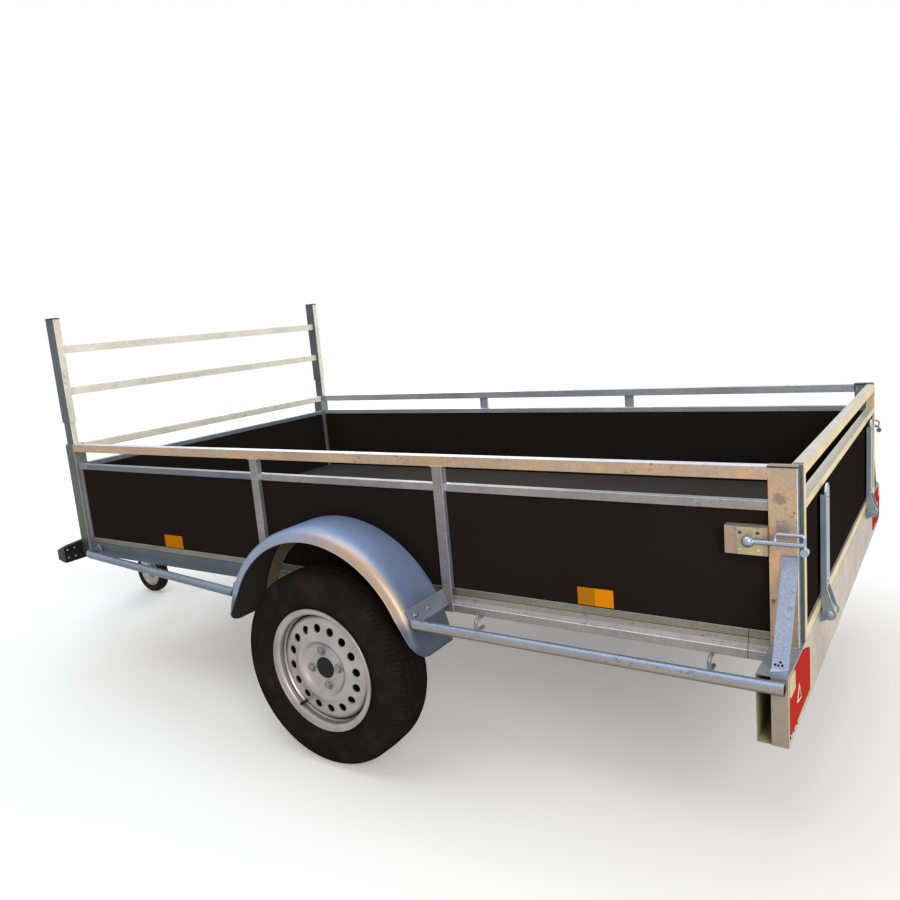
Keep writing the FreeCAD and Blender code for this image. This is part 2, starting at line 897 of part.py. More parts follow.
def fender_brackets():
    """Strips bent to the fenders' curve, which carry the fenders and the side tubes."""
    centre = Vector(wheel_x.number, 0, fender_z.number)
    inner, outer = half_wid.number, (fender_outer - mm.fender_roll).number
    near, far = mm.fender_radius.number, strip_radius.number
    middle = math.degrees(math.asin((strip_rise / strip_radius).number))
    spread = math.degrees((mm.strip_tall / strip_radius).number)
    strips = []
    for side in SIDES.values():
        for start in (middle - spread / 2, 180 - middle - spread / 2):
            corners = [(near, inner), (far, inner), (far, outer), (near, outer), (near, inner)]
            wire = Part.makePolygon([centre + Vector(radius, side * y, 0) for radius, y in corners])
            face = Part.Face(wire)
            face.rotate(centre, Vector(0, 1, 0), -start)
            strips.append(shaped(face.revolve(centre, Vector(0, 1, 0), -spread)))
    return group(*strips)


def axle_beam():
    half = mm.beam_size / 2
    return square_tube((beam_x - half, beam_x + half), (-mm.beam_half, mm.beam_half),
                       (beam_z - half, beam_z + half), "y", mm.drawbar_wall)


def axle_arms():
    """Trailing arms with the stub axles on which the hubs turn."""
    arms = []
    for side in SIDES.values():
        run_x = beam_x - wheel_x
        run_z = beam_z - wheel_z
        length = root(run_x * run_x + run_z * run_z)
        over_x = run_z / length * mm.arm_eye
        over_z = run_x / length * mm.arm_eye
        corners = [
            (wheel_x - over_x, wheel_z + over_z),
            (wheel_x + over_x, wheel_z - over_z),
            (beam_x + over_x, beam_z - over_z),
            (beam_x - over_x, beam_z + over_z),
        ]
        inner = mm.beam_half
        outer = inner + mm.arm_thick
        low, high = to_side(side, (inner, outer))
        plate = prism("XZ_Plane", [corners], low, high)
        low, high = to_side(side, (inner, outer))
        ends = [rod(mm.arm_eye, mm.arm_thick, x, low, z, "y") for x, z in ((wheel_x, wheel_z), (beam_x, beam_z))]
        tip = mm.wheel_middle + mm.disc_offset - mm.hub_flange - mm.axle_fit
        low, high = to_side(side, (outer, tip))
        spindle = rod(mm.stub_axle_radius, tip - outer, wheel_x, low, wheel_z, "y")
        arms.append(fuse(plate, *ends, spindle))
    return group(*arms)


def tyre(side):
    """Tyre with rounded sidewalls, turned about the axle."""
    half, tread = mm.tyre_half, mm.tyre_tread_half
    radius, shoulder = mm.wheel_radius, mm.tyre_shoulder
    bead = mm.rim_half - mm.rim_flange_thick
    upper = (radius + mm.tyre_bulge) / 2
    lower = (mm.rim_flange + mm.tyre_bulge) / 2
    side_in = (half + tread) / 2
    outline = [
        (mm.rim_seat, -bead),
        (mm.rim_flange, -bead),
        (lower, -(half + bead) / 2),
        (mm.tyre_bulge, -half),
        (upper, -half + mm.shoulder_ease),
        (radius - shoulder, -side_in),
        (radius, -tread),
        (radius, tread),
        (radius - shoulder, side_in),
        (upper, half - mm.shoulder_ease),
        (mm.tyre_bulge, half),
        (lower, (half + bead) / 2),
        (mm.rim_flange, bead),
        (mm.rim_seat, bead),
    ]
    return lathe([outline], wheel_x, side * mm.wheel_middle, wheel_z, side)


def rim(side):
    """Pressed steel wheel: barrel with a well, and a crested disc with a ring of round holes."""
    half, thick, wall = mm.rim_half, mm.rim_flange_thick, mm.rim_wall
    seat, well, flange = mm.rim_seat, mm.rim_well, mm.rim_flange
    bead = half - thick
    slope = mm.rim_well_slope
    barrel = [
        (flange, half),
        (flange, half - wall),
        (seat, bead),
        (seat, bead - slope),
        (well, bead - slope * 2),
        (well, -bead + slope * 2),
        (seat, -bead + slope),
        (seat, -bead),
        (flange, -half + wall),
        (flange, -half),
        (seat - wall, -half + wall),
        (seat - wall, -bead + slope),
        (well - wall, -bead + slope * 2),
        (well - wall, bead - slope * 2),
        (seat - wall, bead - slope),
        (seat - wall, half - wall),
    ]
    floor, turn = mm.disc_offset, mm.disc_wall
    edge = well - wall / 2
    profile = [
        (mm.disc_bore, floor),
        (mm.disc_floor, floor),
        (mm.disc_slope, floor + mm.disc_slope_rise),
        (mm.disc_crest, floor + mm.disc_crest_rise),
        (mm.disc_saddle, floor + mm.disc_saddle_rise),
        (mm.vent_circle, floor + mm.vent_rise),
        (mm.disc_shoulder, floor + mm.disc_shoulder_rise),
    ]
    outer = [(radius, out + turn) for radius, out in profile]
    disc = [
        *outer,
        (edge, floor),
        (edge, floor - mm.disc_edge_deep),
        (edge - turn, floor - mm.disc_edge_deep),
        (edge - turn, floor),
        *reversed(profile[:-1]),
    ]
    middle = side * mm.wheel_middle
    solid = fuse(lathe([barrel], wheel_x, middle, wheel_z, side),
                 lathe([disc], wheel_x, middle, wheel_z, side))
    holes = []
    start_y = side * (mm.wheel_middle + floor - mm.overrun)
    for index in range(int(mm.vent_count.number)):
        angle = Size.of(index) * 360 / mm.vent_count
        x = wheel_x + mm.vent_circle * cosine(angle)
        z = wheel_z + mm.vent_circle * sine(angle)
        reach = mm.disc_crest_rise + mm.overrun * 2
        y = start_y if side == LEFT else start_y - reach
        holes.append(rod(mm.vent_radius, reach, x, y, z, "y"))
    return cut(solid, *holes)


def hub(side):
    """Hub that turns on the stub axle, with its flange and a plain round cap."""
    face = mm.disc_offset
    bore = mm.stub_axle_radius + mm.axle_fit
    outline = [
        (bore, face - mm.hub_inner),
        (bore, face - mm.hub_flange),
        (ZERO, face - mm.hub_flange),
        (ZERO, face + mm.hub_cap_deep),
        (mm.disc_bore - mm.axle_fit, face + mm.hub_cap_deep),
        (mm.disc_bore - mm.axle_fit, face),
        (mm.hub_radius, face),
        (mm.hub_radius, face - mm.hub_flange),
        (mm.hub_barrel, face - mm.hub_flange),
        (mm.hub_barrel, face - mm.hub_inner),
    ]
    return lathe([outline], wheel_x, side * mm.wheel_middle, wheel_z, side)


def tailgate_frame():
    """Gate frame: two stiles and three rails."""
    x = (gate_rear, gate_front)
    stile = mm.gate_thick
    wall = mm.tube_wall
    pieces = []
    for side in SIDES.values():
        y = to_side(side, (gate_half - stile, gate_half))
        pieces.append(square_tube(x, y, (mm.gate_bottom, mm.rail_top), "z", wall))
    for top, tall in ((mm.rail_top, mm.gate_rail_tall), (mm.gate_mid_top, mm.gate_mid_tall),
                      (mm.gate_bottom + mm.gate_low_tall, mm.gate_low_tall)):
        pieces.append(square_tube(x, (-gate_half + stile, gate_half - stile), (top - tall, top), "y", wall))
    return fuse(*pieces)


def tailgate_panel():
    half = gate_half - mm.gate_thick
    middle = (gate_rear + gate_front) / 2
    x = (middle - mm.panel_thick / 2, middle + mm.panel_thick / 2)
    z = (mm.gate_bottom + mm.gate_low_tall, mm.gate_mid_top - mm.gate_mid_tall)
    return block(x, (-half, half), z)


def hinge_straps():
    """Channel straps on the gate, whose lower ends reach back to the pins."""
    straps = []
    half = mm.strap_wide / 2
    out = gate_rear - mm.strap_out
    pin_at = rear_x + pin_x
    for side in SIDES.values():
        middle = side * mm.strap_at
        pieces = []
        web_low = mm.gate_bottom + mm.gate_low_tall * 2
        web_top = mm.strap_top - half
        pieces.append(block((out, out + mm.strap_wall), (middle - half, middle + half), (web_low, web_top)))
        pieces.append(rod(half, mm.strap_wall, out, middle, web_top, "x"))
        for low, high in ((-half, -half + mm.strap_wall), (half - mm.strap_wall, half)):
            corners = [
                (gate_rear, web_top),
                (gate_rear, mm.gate_bottom + mm.gate_low_tall),
                (pin_at + mm.eye_radius, mm.gate_bottom),
                (pin_at + mm.eye_radius, mm.pin_z),
                (pin_at - mm.eye_radius, mm.pin_z),
                (out, web_low),
                (out, web_top),
            ]
            pieces.append(prism("XZ_Plane", [corners], middle + low, middle + high))
            pieces.append(rod(mm.eye_radius, mm.strap_wall, pin_at, middle + low, mm.pin_z, "y"))
        grip = half + mm.pin_head_tall
        pieces.append(rod(mm.pin_radius, mm.strap_wide, pin_at, middle - half, mm.pin_z, "y"))
        pieces.append(rod(mm.pin_head, mm.pin_head_tall, pin_at, middle - grip, mm.pin_z, "y"))
        pieces.append(rod(mm.pin_head, mm.pin_head_tall, pin_at, middle + half, mm.pin_z, "y"))
        straps.append(fuse(*pieces))
    return group(*straps)


def hinge_lugs():
    """Lugs on the light board that hold the gate's pins."""
    lugs = []
    half = mm.strap_wide / 2 - mm.strap_wall - mm.lug_side_gap
    pin_at = rear_x + pin_x
    back = rear_x - mm.board_behind
    for side in SIDES.values():
        middle = side * mm.strap_at
        corners = [
            (pin_at, mm.pin_z + mm.lug_radius),
            (back, mm.board_top),
            (back, mm.pin_z - mm.lug_radius * 2),
            (pin_at, mm.pin_z - mm.lug_radius),
        ]
        plate = prism("XZ_Plane", [corners], middle - half, middle + half)
        eye = rod(mm.lug_radius, half * 2, pin_at, middle - half, mm.pin_z, "y")
        bore = rod(mm.pin_radius + mm.lug_fit, half * 2 + mm.overrun * 2, pin_at, middle - half - mm.overrun,
                   mm.pin_z, "y")
        lugs.append(cut(fuse(plate, eye), bore))
    return group(*lugs)


def latches():
    return group(*[latch(side) for side in SIDES.values()])


def latch(side):
    """Gate latch: block on the side panel, plate, turning knob and a rod that reaches behind the post."""
    face = panel_outer
    x0 = rear_x + mm.rear_post_wide
    x1 = rear_x + mm.latch_block_from + mm.latch_block_long
    z = (mm.latch_block_low, mm.latch_block_low + mm.latch_block_tall)
    outer = face + mm.latch_block_deep
    pieces = [block((x0, x1), to_side(side, (face, outer)), z)]
    plate_y = to_side(side, (outer, outer + mm.latch_plate_thick))
    pieces.append(block((x0, x0 + mm.latch_plate_long), plate_y, z))
    knob_x = rear_x + mm.latch_knob_at
    rod_y = mm.latch_rod_y
    low, high = to_side(side, (outer, rod_y))
    pieces.append(rod(mm.latch_knob_radius / 2, high - low, knob_x, low, mm.latch_knob_z, "y"))
    ball = doc.addObject("Part::Sphere", "Ball")
    bind(ball, "Radius", mm.latch_knob_radius)
    pieces.append(place(ball, knob_x, side * rod_y, mm.latch_knob_z))
    back = rear_x - mm.latch_rod_back
    pieces.append(rod(mm.latch_rod_radius, knob_x - back, back, side * rod_y, mm.latch_knob_z, "x"))
    y = (side * rod_y).number
    low = mm.latch_knob_z.number
    high = low + mm.latch_bar_rise.number
    bend = mm.latch_bar_bend.number
    ahead, behind = (rear_x + mm.latch_bar_from).number, back.number
    points = [(ahead, y, low), (ahead, y, high, bend), (behind, y, high, bend),
              (behind, y, low - mm.latch_tip_drop.number)]
    pieces.append(shaped(bent_bar(points, mm.latch_bar_radius.number)))
    tip = mm.latch_tip_radius
    low, high = to_side(side, (rod_y - tip, rod_y + tip))
    pieces.append(rod(tip, high - low, back, low, mm.latch_knob_z - mm.latch_tip_drop, "y"))
    return fuse(*pieces)


def drawbar():
    half = mm.drawbar_size / 2
    rear_end = beam_x + mm.beam_size / 2
    return square_tube((rear_end, drawbar_end), (-half, half), (drawbar_low, drawbar_top), "x", mm.drawbar_wall)


def drawbar_stays():
    """Diagonal stays from the drawbar to the front corners of the chassis."""
    stays = []
    half = mm.drawbar_size / 2
    wide = mm.stay_wide
    tip = stay_tip
    foot = half_wid - mm.front_post
    for side in SIDES.values():
        corners = [
            (tip, side * half),
            (tip - wide * 2, side * half),
            (chassis_front - wide, side * (foot - wide)),
            (chassis_front - wide, side * foot),
            (chassis_front, side * foot),
        ]
        stays.append(prism("XY_Plane", [corners], drawbar_low + mm.stay_rise,
                           drawbar_top))
    return group(*stays)


def coupling_head():
    """Pressed ball coupling on the end of the drawbar, with its socket open below."""
    half = mm.drawbar_size / 2
    low = drawbar_low
    top = drawbar_low + mm.coupling_tall + mm.coupling_wall
    around = mm.ball_radius + mm.coupling_wall
    ball_x = nose_x - around
    body_part = block((drawbar_end, ball_x), (-around, around), (low, top))
    nose = rod(around, top - low, ball_x, ZERO, low)
    skirt = rod(mm.ball_radius, mm.ball_skirt + mm.overrun, ball_x, ZERO, low - mm.overrun)
    dome = doc.addObject("Part::Sphere", "Socket")
    bind(dome, "Radius", mm.ball_radius)
    place(dome, ball_x, ZERO, low + mm.ball_skirt)
    return cut(fuse(body_part, nose), skirt, dome)


def coupling_handle():
    """Handle on top of the coupling head."""
    top = drawbar_low + mm.coupling_tall + mm.coupling_wall
    half = mm.handle_wide / 2
    x1 = nose_x - mm.ball_radius - mm.coupling_wall
    return block((x1 - mm.handle_long, x1), (-half, half), (top, top + mm.handle_tall))


def jockey_clamp():
    """Clamp block on the drawbar's left side that grips the jockey leg."""
    half = mm.clamp_thick / 2
    radius = mm.jockey_radius + mm.clamp_ring
    z = (drawbar_low, drawbar_top)
    arm = block((jockey_x - half, jockey_x + half), (mm.drawbar_size / 2, jockey_y), z)
    shell = rod(radius, mm.drawbar_size, jockey_x, jockey_y, drawbar_low)
    hole = rod(mm.jockey_radius, mm.drawbar_size + mm.overrun * 2, jockey_x, jockey_y,
               drawbar_low - mm.overrun)
    return cut(fuse(arm, shell), hole)


def jockey_outer():
    """Outer tube of the jockey leg with its closed top."""
    bottom = mm.jockey_tube_bottom
    tube = ring(mm.jockey_radius, mm.jockey_inner_radius + mm.jockey_fit, mm.jockey_top - bottom,
                jockey_x, jockey_y, bottom)
    lid = rod(mm.jockey_radius, mm.cap_thick, jockey_x, jockey_y, mm.jockey_top)
    return fuse(tube, lid)


def jockey_crank():
    """Crank handle on top of the leg."""
    top = mm.jockey_top + mm.cap_thick
    boss = rod(mm.crank_grip, mm.crank_boss, jockey_x, jockey_y, top)
    half = mm.crank_rod
    arm_z = top + mm.crank_boss
    arm = block((jockey_x - mm.crank_radius, jockey_x + half), (jockey_y - half, jockey_y + half),
                (arm_z - mm.crank_rod, arm_z))
    grip = rod(mm.crank_grip, mm.crank_grip_long, jockey_x - mm.crank_radius, jockey_y, arm_z)
    return fuse(boss, arm, grip)


def jockey_inner():
    """Inner tube that telescopes in the outer tube."""
    top = mm.jockey_top - mm.jockey_stroke - mm.overrun * 2
    bottom = mm.jockey_inner_bottom
    return rod(mm.jockey_inner_radius, top - bottom, jockey_x, jockey_y, bottom)


def jockey_fork():
    """Fork that swivels under the inner tube and holds the wheel behind the swivel axis."""
    half = mm.castor_wide / 2 + mm.castor_fit
    outer = half + mm.fork_plate
    axle_x = jockey_x - mm.fork_trail
    top = mm.jockey_inner_bottom - mm.swivel_gap
    crown_low = top - mm.fork_plate * 2
    wide = mm.fork_head_radius
    pieces = [block((axle_x - wide / 2, jockey_x + wide), (jockey_y - outer, jockey_y + outer), (crown_low, top))]
    for low in (-outer, half):
        corners = [
            (jockey_x + wide, crown_low),
            (axle_x - wide / 2, crown_low),
            (axle_x - wide / 2, mm.castor_radius - wide / 2),
            (axle_x + wide / 2, mm.castor_radius - wide / 2),
        ]
        pieces.append(prism("XZ_Plane", [corners], jockey_y + low, jockey_y + low + mm.fork_plate))
    pin = rod(mm.castor_pin, outer * 2, axle_x, jockey_y - outer, mm.castor_radius, "y")
    return fuse(*pieces, pin)


def jockey_wheel():
    """Castor wheel with a round tread and a bore that runs on the fork's pin."""
    half = mm.castor_wide / 2
    radius = mm.castor_radius
    bore = mm.castor_pin + mm.jockey_fit
    outline = [
        (bore, -half),
        (radius - half / 2, -half),
        (radius, -half / 2),
        (radius, half / 2),
        (radius - half / 2, half),
        (bore, half),
    ]
    return lathe([outline], jockey_x - mm.fork_trail, jockey_y, mm.castor_radius)


def build():
    for name, side in SIDES.items():
        node(f"side_frame_{name}", side_frame(side))
        node(f"fender_{name}", fender(side))
        node(f"tyre_{name}", tyre(side))
        node(f"rim_{name}", rim(side))
        node(f"hub_{name}", hub(side))
    panels()
    node("sills", sills())
    node("front_posts", front_posts())
    node("rear_posts", rear_posts())
    node("side_tubes", side_tubes())
    node("latches", latches())
    node("cross_members", cross_members())
    node("front_frame", front_frame())
    node("ladder_stubs", ladder_stubs())
    node("ladder_rack", ladder_rack())
    node("ladder_caps", ladder_caps())
    node("light_board", light_board())
    node("board_braces", board_braces())
    node("tail_lamps", tail_lamps())
    node("side_reflectors", side_reflectors())
    node("front_lamps", front_lamps())
    node("rope_hooks", rope_hooks())
    node("fender_brackets", fender_brackets())
    node("axle_beam", axle_beam())
    node("axle_arms", axle_arms())
    node("tailgate_frame", tailgate_frame())
    node("tailgate_panel", tailgate_panel())
    node("hinge_straps", hinge_straps())
    node("hinge_lugs", hinge_lugs())
    node("drawbar", drawbar())
    node("drawbar_stays", drawbar_stays())
    node("coupling_head", coupling_head())
    node("coupling_handle", coupling_handle())
    node("jockey_clamp", jockey_clamp())
    node("jockey_outer", jockey_outer())
    node("jockey_crank", jockey_crank())
    node("jockey_inner", jockey_inner())
    node("jockey_fork", jockey_fork())
    node("jockey_wheel", jockey_wheel())


def checked():
    """Stop if an object failed or a sub-part has no valid solid."""
    for item in doc.Objects:
        if "Invalid" in item.State or "Error" in item.State:
            raise RuntimeError(f"{item.Label} ({item.Name}) failed: {item.State}")
    for name, piece in NODES.items():
        shape = piece.Shape
        if shape.isNull() or not shape.isValid() or not shape.Solids:
            raise RuntimeError(f"{name} has no valid solid")


def export():
    os.makedirs("parts", exist_ok=True)
    for name, piece in NODES.items():
        piece.Shape.exportStep(f"parts/{name}.step")
        box = piece.Shape.BoundBox
        print(f"{name}: {len(piece.Shape.Solids)} solids, z {box.ZMin:.1f} to {box.ZMax:.1f}")


build()
doc.recompute()
checked()
export()
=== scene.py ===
"""Looks of the utility trailer: finishes, rounded tubes, wheels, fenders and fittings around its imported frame."""

from __future__ import annotations

import json
import logging
import math
from collections.abc import Callable, Iterator, Sequence
from contextlib import contextmanager
from dataclasses import dataclass
from enum import Enum

import bmesh
import bpy
from mathutils import Matrix, Vector

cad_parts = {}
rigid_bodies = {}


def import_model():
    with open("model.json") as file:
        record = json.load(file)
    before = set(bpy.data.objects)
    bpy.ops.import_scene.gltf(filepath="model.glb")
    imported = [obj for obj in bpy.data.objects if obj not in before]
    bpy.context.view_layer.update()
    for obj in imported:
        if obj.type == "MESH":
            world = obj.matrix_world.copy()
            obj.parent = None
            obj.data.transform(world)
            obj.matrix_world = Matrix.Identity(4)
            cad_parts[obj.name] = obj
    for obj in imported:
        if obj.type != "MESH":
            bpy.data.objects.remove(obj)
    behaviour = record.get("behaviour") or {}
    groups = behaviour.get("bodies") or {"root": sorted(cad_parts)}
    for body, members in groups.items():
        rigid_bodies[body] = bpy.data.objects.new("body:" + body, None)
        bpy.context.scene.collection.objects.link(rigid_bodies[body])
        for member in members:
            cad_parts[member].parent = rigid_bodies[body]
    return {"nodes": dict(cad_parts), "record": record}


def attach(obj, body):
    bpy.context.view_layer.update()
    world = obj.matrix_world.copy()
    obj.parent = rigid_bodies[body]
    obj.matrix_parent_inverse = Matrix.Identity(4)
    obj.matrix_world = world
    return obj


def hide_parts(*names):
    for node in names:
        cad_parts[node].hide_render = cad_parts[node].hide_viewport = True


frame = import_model()
log = logging.getLogger("trailer")
Piece = bpy.types.Object
Face = bpy.types.MeshPolygon
Tree = bpy.types.NodeTree
Node = bpy.types.Node
Socket = bpy.types.NodeSocket
Point = tuple[float, float, float]
Span = tuple[float, float]
Section = tuple[tuple[float, float], ...]
MM = 0.001
X, Y, Z = range(3)
ORIGIN: Point = (0.0, 0.0, 0.0)
BACK: Point = (-1.0, 0.0, 0.0)
UP: Point = (0.0, 0.0, 1.0)
# Out from the left side, which is also the way that the wheels' axles lie
OUTWARD: Point = (0.0, 1.0, 0.0)
# How much of its normal points a way when a face is said to look that way, and when it leans that way
STRAIGHT = 0.9
LEANING = 0.3
# The angle between two faces from which their edge is a sharp one
SHARP = math.radians(60)
ACROSS = Matrix.Diagonal((1.0, -1.0, 1.0, 1.0))


class Side(Enum):
    """The two sides of the trailer and the sign of Y on each."""

    LEFT = 1
    RIGHT = -1

    @property
    def word(self) -> str:
        """The side's name as the nodes have it."""
        return self.name.lower()


class Part(Enum):
    """What is picked in edit mode, with Blender's words for it."""

    CORNERS = ("VERT", "verts")
    EDGES = ("EDGE", "edges")
    FACES = ("FACE", "faces")


# --- Workbench: operators used as by hand ---------------------------------------------------------------------------


def pick_only(piece: Piece) -> None:
    """Leaves one piece selected and active.

    Args:
        piece: The piece to pick.
    """
    for other in bpy.context.view_layer.objects:
        other.select_set(False)
    piece.select_set(True)
    bpy.context.view_layer.objects.active = piece


@contextmanager
def editing(piece: Piece) -> Iterator[None]:
    """Opens a piece in edit mode with nothing selected.

    Args:
        piece: The mesh object to work on.
    """
    pick_only(piece)
    bpy.ops.object.mode_set(mode="EDIT")
    bpy.ops.mesh.select_mode(type="VERT")
    bpy.ops.mesh.select_all(action="DESELECT")
    yield
    bpy.ops.object.mode_set(mode="OBJECT")


def mark(piece: Piece, kind: Part, wanted: Callable[..., bool]) -> int:
    """Selects the corners, edges or faces that pass a test, in edit mode.

    Args:
        piece: The object that is open in edit mode.
        kind: What to pick.
        wanted: Says of one element whether it is picked.

    Returns:
        How many were picked.
    """
    word, group = kind.value
    bpy.ops.mesh.select_mode(type=word)
    bpy.ops.mesh.select_all(action="DESELECT")
    mesh = bmesh.from_edit_mesh(piece.data)
    mesh.normal_update()
    picked = [item for item in getattr(mesh, group) if wanted(item)]
    for item in picked:
        item.select_set(True)
    bmesh.update_edit_mesh(piece.data)
    return len(picked)


def looks(face: bmesh.types.BMFace | Face, way: Point) -> bool:
    """Tells whether a face looks straight or nearly straight a way."""
    return face.normal.dot(Vector(way)) > STRAIGHT


def runs(edge: bmesh.types.BMEdge, axis: int) -> float:
    """Measures how far an edge runs along an axis."""
    return abs(edge.verts[0].co[axis] - edge.verts[1].co[axis])


def merge_all(gap: float) -> None:
    """Merges those corners of the open mesh that lie nearer together than a gap."""
    bpy.ops.mesh.select_all(action="SELECT")
    bpy.ops.mesh.remove_doubles(threshold=gap)


def face_out() -> None:
    """Turns all faces of the open mesh outward."""
    bpy.ops.mesh.select_all(action="SELECT")
    bpy.ops.mesh.normals_make_consistent(inside=False)


def newest(name: str) -> Piece:
    """Names the object that an operator has just added.

    Args:
        name: Its new name.

    Returns:
        The object.
    """
    piece = bpy.context.view_layer.objects.active
    piece.name = name
    piece.data.name = name
    return piece


def settle(piece: Piece) -> None:
    """Puts a piece's place and turn into its mesh, so its object sits at the origin."""
    pick_only(piece)
    bpy.ops.object.transform_apply(location=True, rotation=True, scale=True)


def modify(piece: Piece, kind: str, **settings: object) -> None:
    """Adds one modifier with its settings and applies it.

    Args:
        piece: The object to change.
        kind: Blender's name of the modifier.
        settings: The modifier's own settings.
    """
    pick_only(piece)
    modifier = piece.modifiers.new(kind.lower(), kind)
    for name, value in settings.items():
        setattr(modifier, name, value)
    bpy.ops.object.modifier_apply(modifier=modifier.name)


def smooth(piece: Piece, degrees: float) -> None:
    """Shades a piece smooth up to an angle between its faces."""
    pick_only(piece)
    bpy.ops.object.shade_smooth_by_angle(angle=math.radians(degrees))


def joined(name: str, pieces: Sequence[Piece]) -> Piece:
    """Makes one piece of several.

    Args:
        name: The new piece's name.
        pieces: The pieces that it is made of.

    Returns:
        The piece.
    """
    pick_only(pieces[0])
    for piece in pieces:
        piece.select_set(True)
    bpy.ops.object.join()
    return newest(name)


def copied(piece: Piece, name: str, move: Matrix) -> Piece:
    """Copies a piece with a mesh of its own and moves the mesh.

    Args:
        piece: The piece to copy.
        name: The copy's name.
        move: Where the copy's mesh goes.

    Returns:
        The copy.
    """
    pick_only(piece)
    bpy.ops.object.duplicate(linked=False)
    copy = newest(name)
    copy.matrix_world = move @ copy.matrix_world
    settle(copy)
    if move.determinant() < 0:
        with editing(copy):
            bpy.ops.mesh.select_all(action="SELECT")
            bpy.ops.mesh.flip_normals()
    return copy


def mirrored(piece: Piece, name: str) -> Piece:
    """Copies a piece of the left side to the right."""
    return copied(piece, name, ACROSS)


def on_side(piece: Piece, side: Side) -> Piece:
    """Puts a piece that was built on the left on its own side, under the name that it has.

    Args:
        piece: The piece as built on the left.
        side: Where it belongs.

    Returns:
        The piece on its side.
    """
    if side is Side.LEFT:
        return piece
    name = piece.name
    mirror = mirrored(piece, f"{name}_far")
    bpy.data.objects.remove(piece)
    mirror.name = name
    return mirror


def profile_line(name: str, points: Sequence[Point]) -> Piece:
    """Draws a line of edges by extruding one corner from point to point.

    Args:
        name: The new piece's name.
        points: The line's points.

    Returns:
        The line's object.
    """
    bpy.ops.mesh.primitive_plane_add(size=MM, location=points[0])
    line = newest(name)
    settle(line)
    with editing(line):
        bpy.ops.mesh.select_all(action="SELECT")
        bpy.ops.mesh.merge(type="CENTER")
        for here, there in zip(points, points[1:]):
            step = Vector(there) - Vector(here)
            bpy.ops.mesh.extrude_region_move(TRANSFORM_OT_translate={"value": step})
    return line


def turned(name: str, points: Sequence[Point], centre: Point, axis: Point, steps: int,
           degrees: float = 360) -> Piece:
    """Spins a line of points about an axis into a sheet.

    Args:
        name: The new piece's name.
        points: The line that is spun.
        centre: A point on the axis.
        axis: The axis' direction.
        steps: How many steps the turn has.
        degrees: How far it turns.

    Returns:
        The sheet, with its seam and poles merged and its faces pointing out.
    """
    sheet = profile_line(name, points)
    with editing(sheet):
        bpy.ops.mesh.select_all(action="SELECT")
        bpy.ops.mesh.spin(steps=steps, angle=math.radians(degrees), center=centre, axis=axis)
        merge_all(0.05 * MM)
        face_out()
    return sheet


def eased(points: Sequence[tuple[float, float]], parts: int) -> list[tuple[float, float]]:
    """Draws a smooth line through the points of a section.

    Args:
        points: The section's points.
        parts: How many runs each stretch gets.

    Returns:
        The points of the smooth line.
    """
    ends = [points[0], *points, points[-1]]
    line = []
    for a, b, c, d in zip(ends, ends[1:], ends[2:], ends[3:]):
        for step in range(parts):
            t = step / parts
            line.append(tuple(
                0.5 * (2 * b[k] + (c[k] - a[k]) * t + (2 * a[k] - 5 * b[k] + 4 * c[k] - d[k]) * t * t
                       + (3 * b[k] - a[k] - 3 * c[k] + d[k]) * t ** 3)
                for k in (0, 1)))
    line.append(tuple(points[-1]))
    return line


# --- Finishes --------------------------------------------------------------------------------------------------------


def linear(code: str) -> tuple[float, float, float, float]:
    """Turns an sRGB hex colour into Blender's linear colour.

    Args:
        code: The colour as six hex digits.

    Returns:
        Red, green, blue and a full alpha.
    """
    parts = [int(code[start:start + 2], 16) / 255 for start in (0, 2, 4)]
    return (*[p / 12.92 if p <= 0.04045 else ((p + 0.055) / 1.055) ** 2.4 for p in parts], 1.0)


def plug(tree: Tree, node: Node, links: dict[str | int, object]) -> None:
    """Sets sockets of a node, each to a value or to the output that feeds it.

    Args:
        tree: The node tree.
        node: The node whose sockets are set.
        links: Values and outputs by the socket's name or number.
    """
    for socket, value in links.items():
        if isinstance(value, Socket):
            tree.links.new(value, node.inputs[socket])
        else:
            node.inputs[socket].default_value = value


def add(tree: Tree, kind: str, links: dict[str | int, object] | None = None,
        **settings: object) -> Node:
    """Adds one node with its settings, its socket values and its links.

    Args:
        tree: The node tree.
        kind: Blender's name of the node.
        links: Values and outputs by the socket's name or number.
        settings: The node's own settings.

    Returns:
        The node.
    """
    node = tree.nodes.new("ShaderNode" + kind)
    for name, value in settings.items():
        setattr(node, name, value)
    plug(tree, node, links or {})
    return node


WHITE = linear("ffffff")
# Sockets by number, where Blender gives one name to several: Map Range's, then those of a Mix of colours
VALUE, FROM_LOW, FROM_HIGH, TO_LOW, TO_HIGH = range(5)
SHARE, BELOW, OVER, MIXED = 0, 6, 7, 2


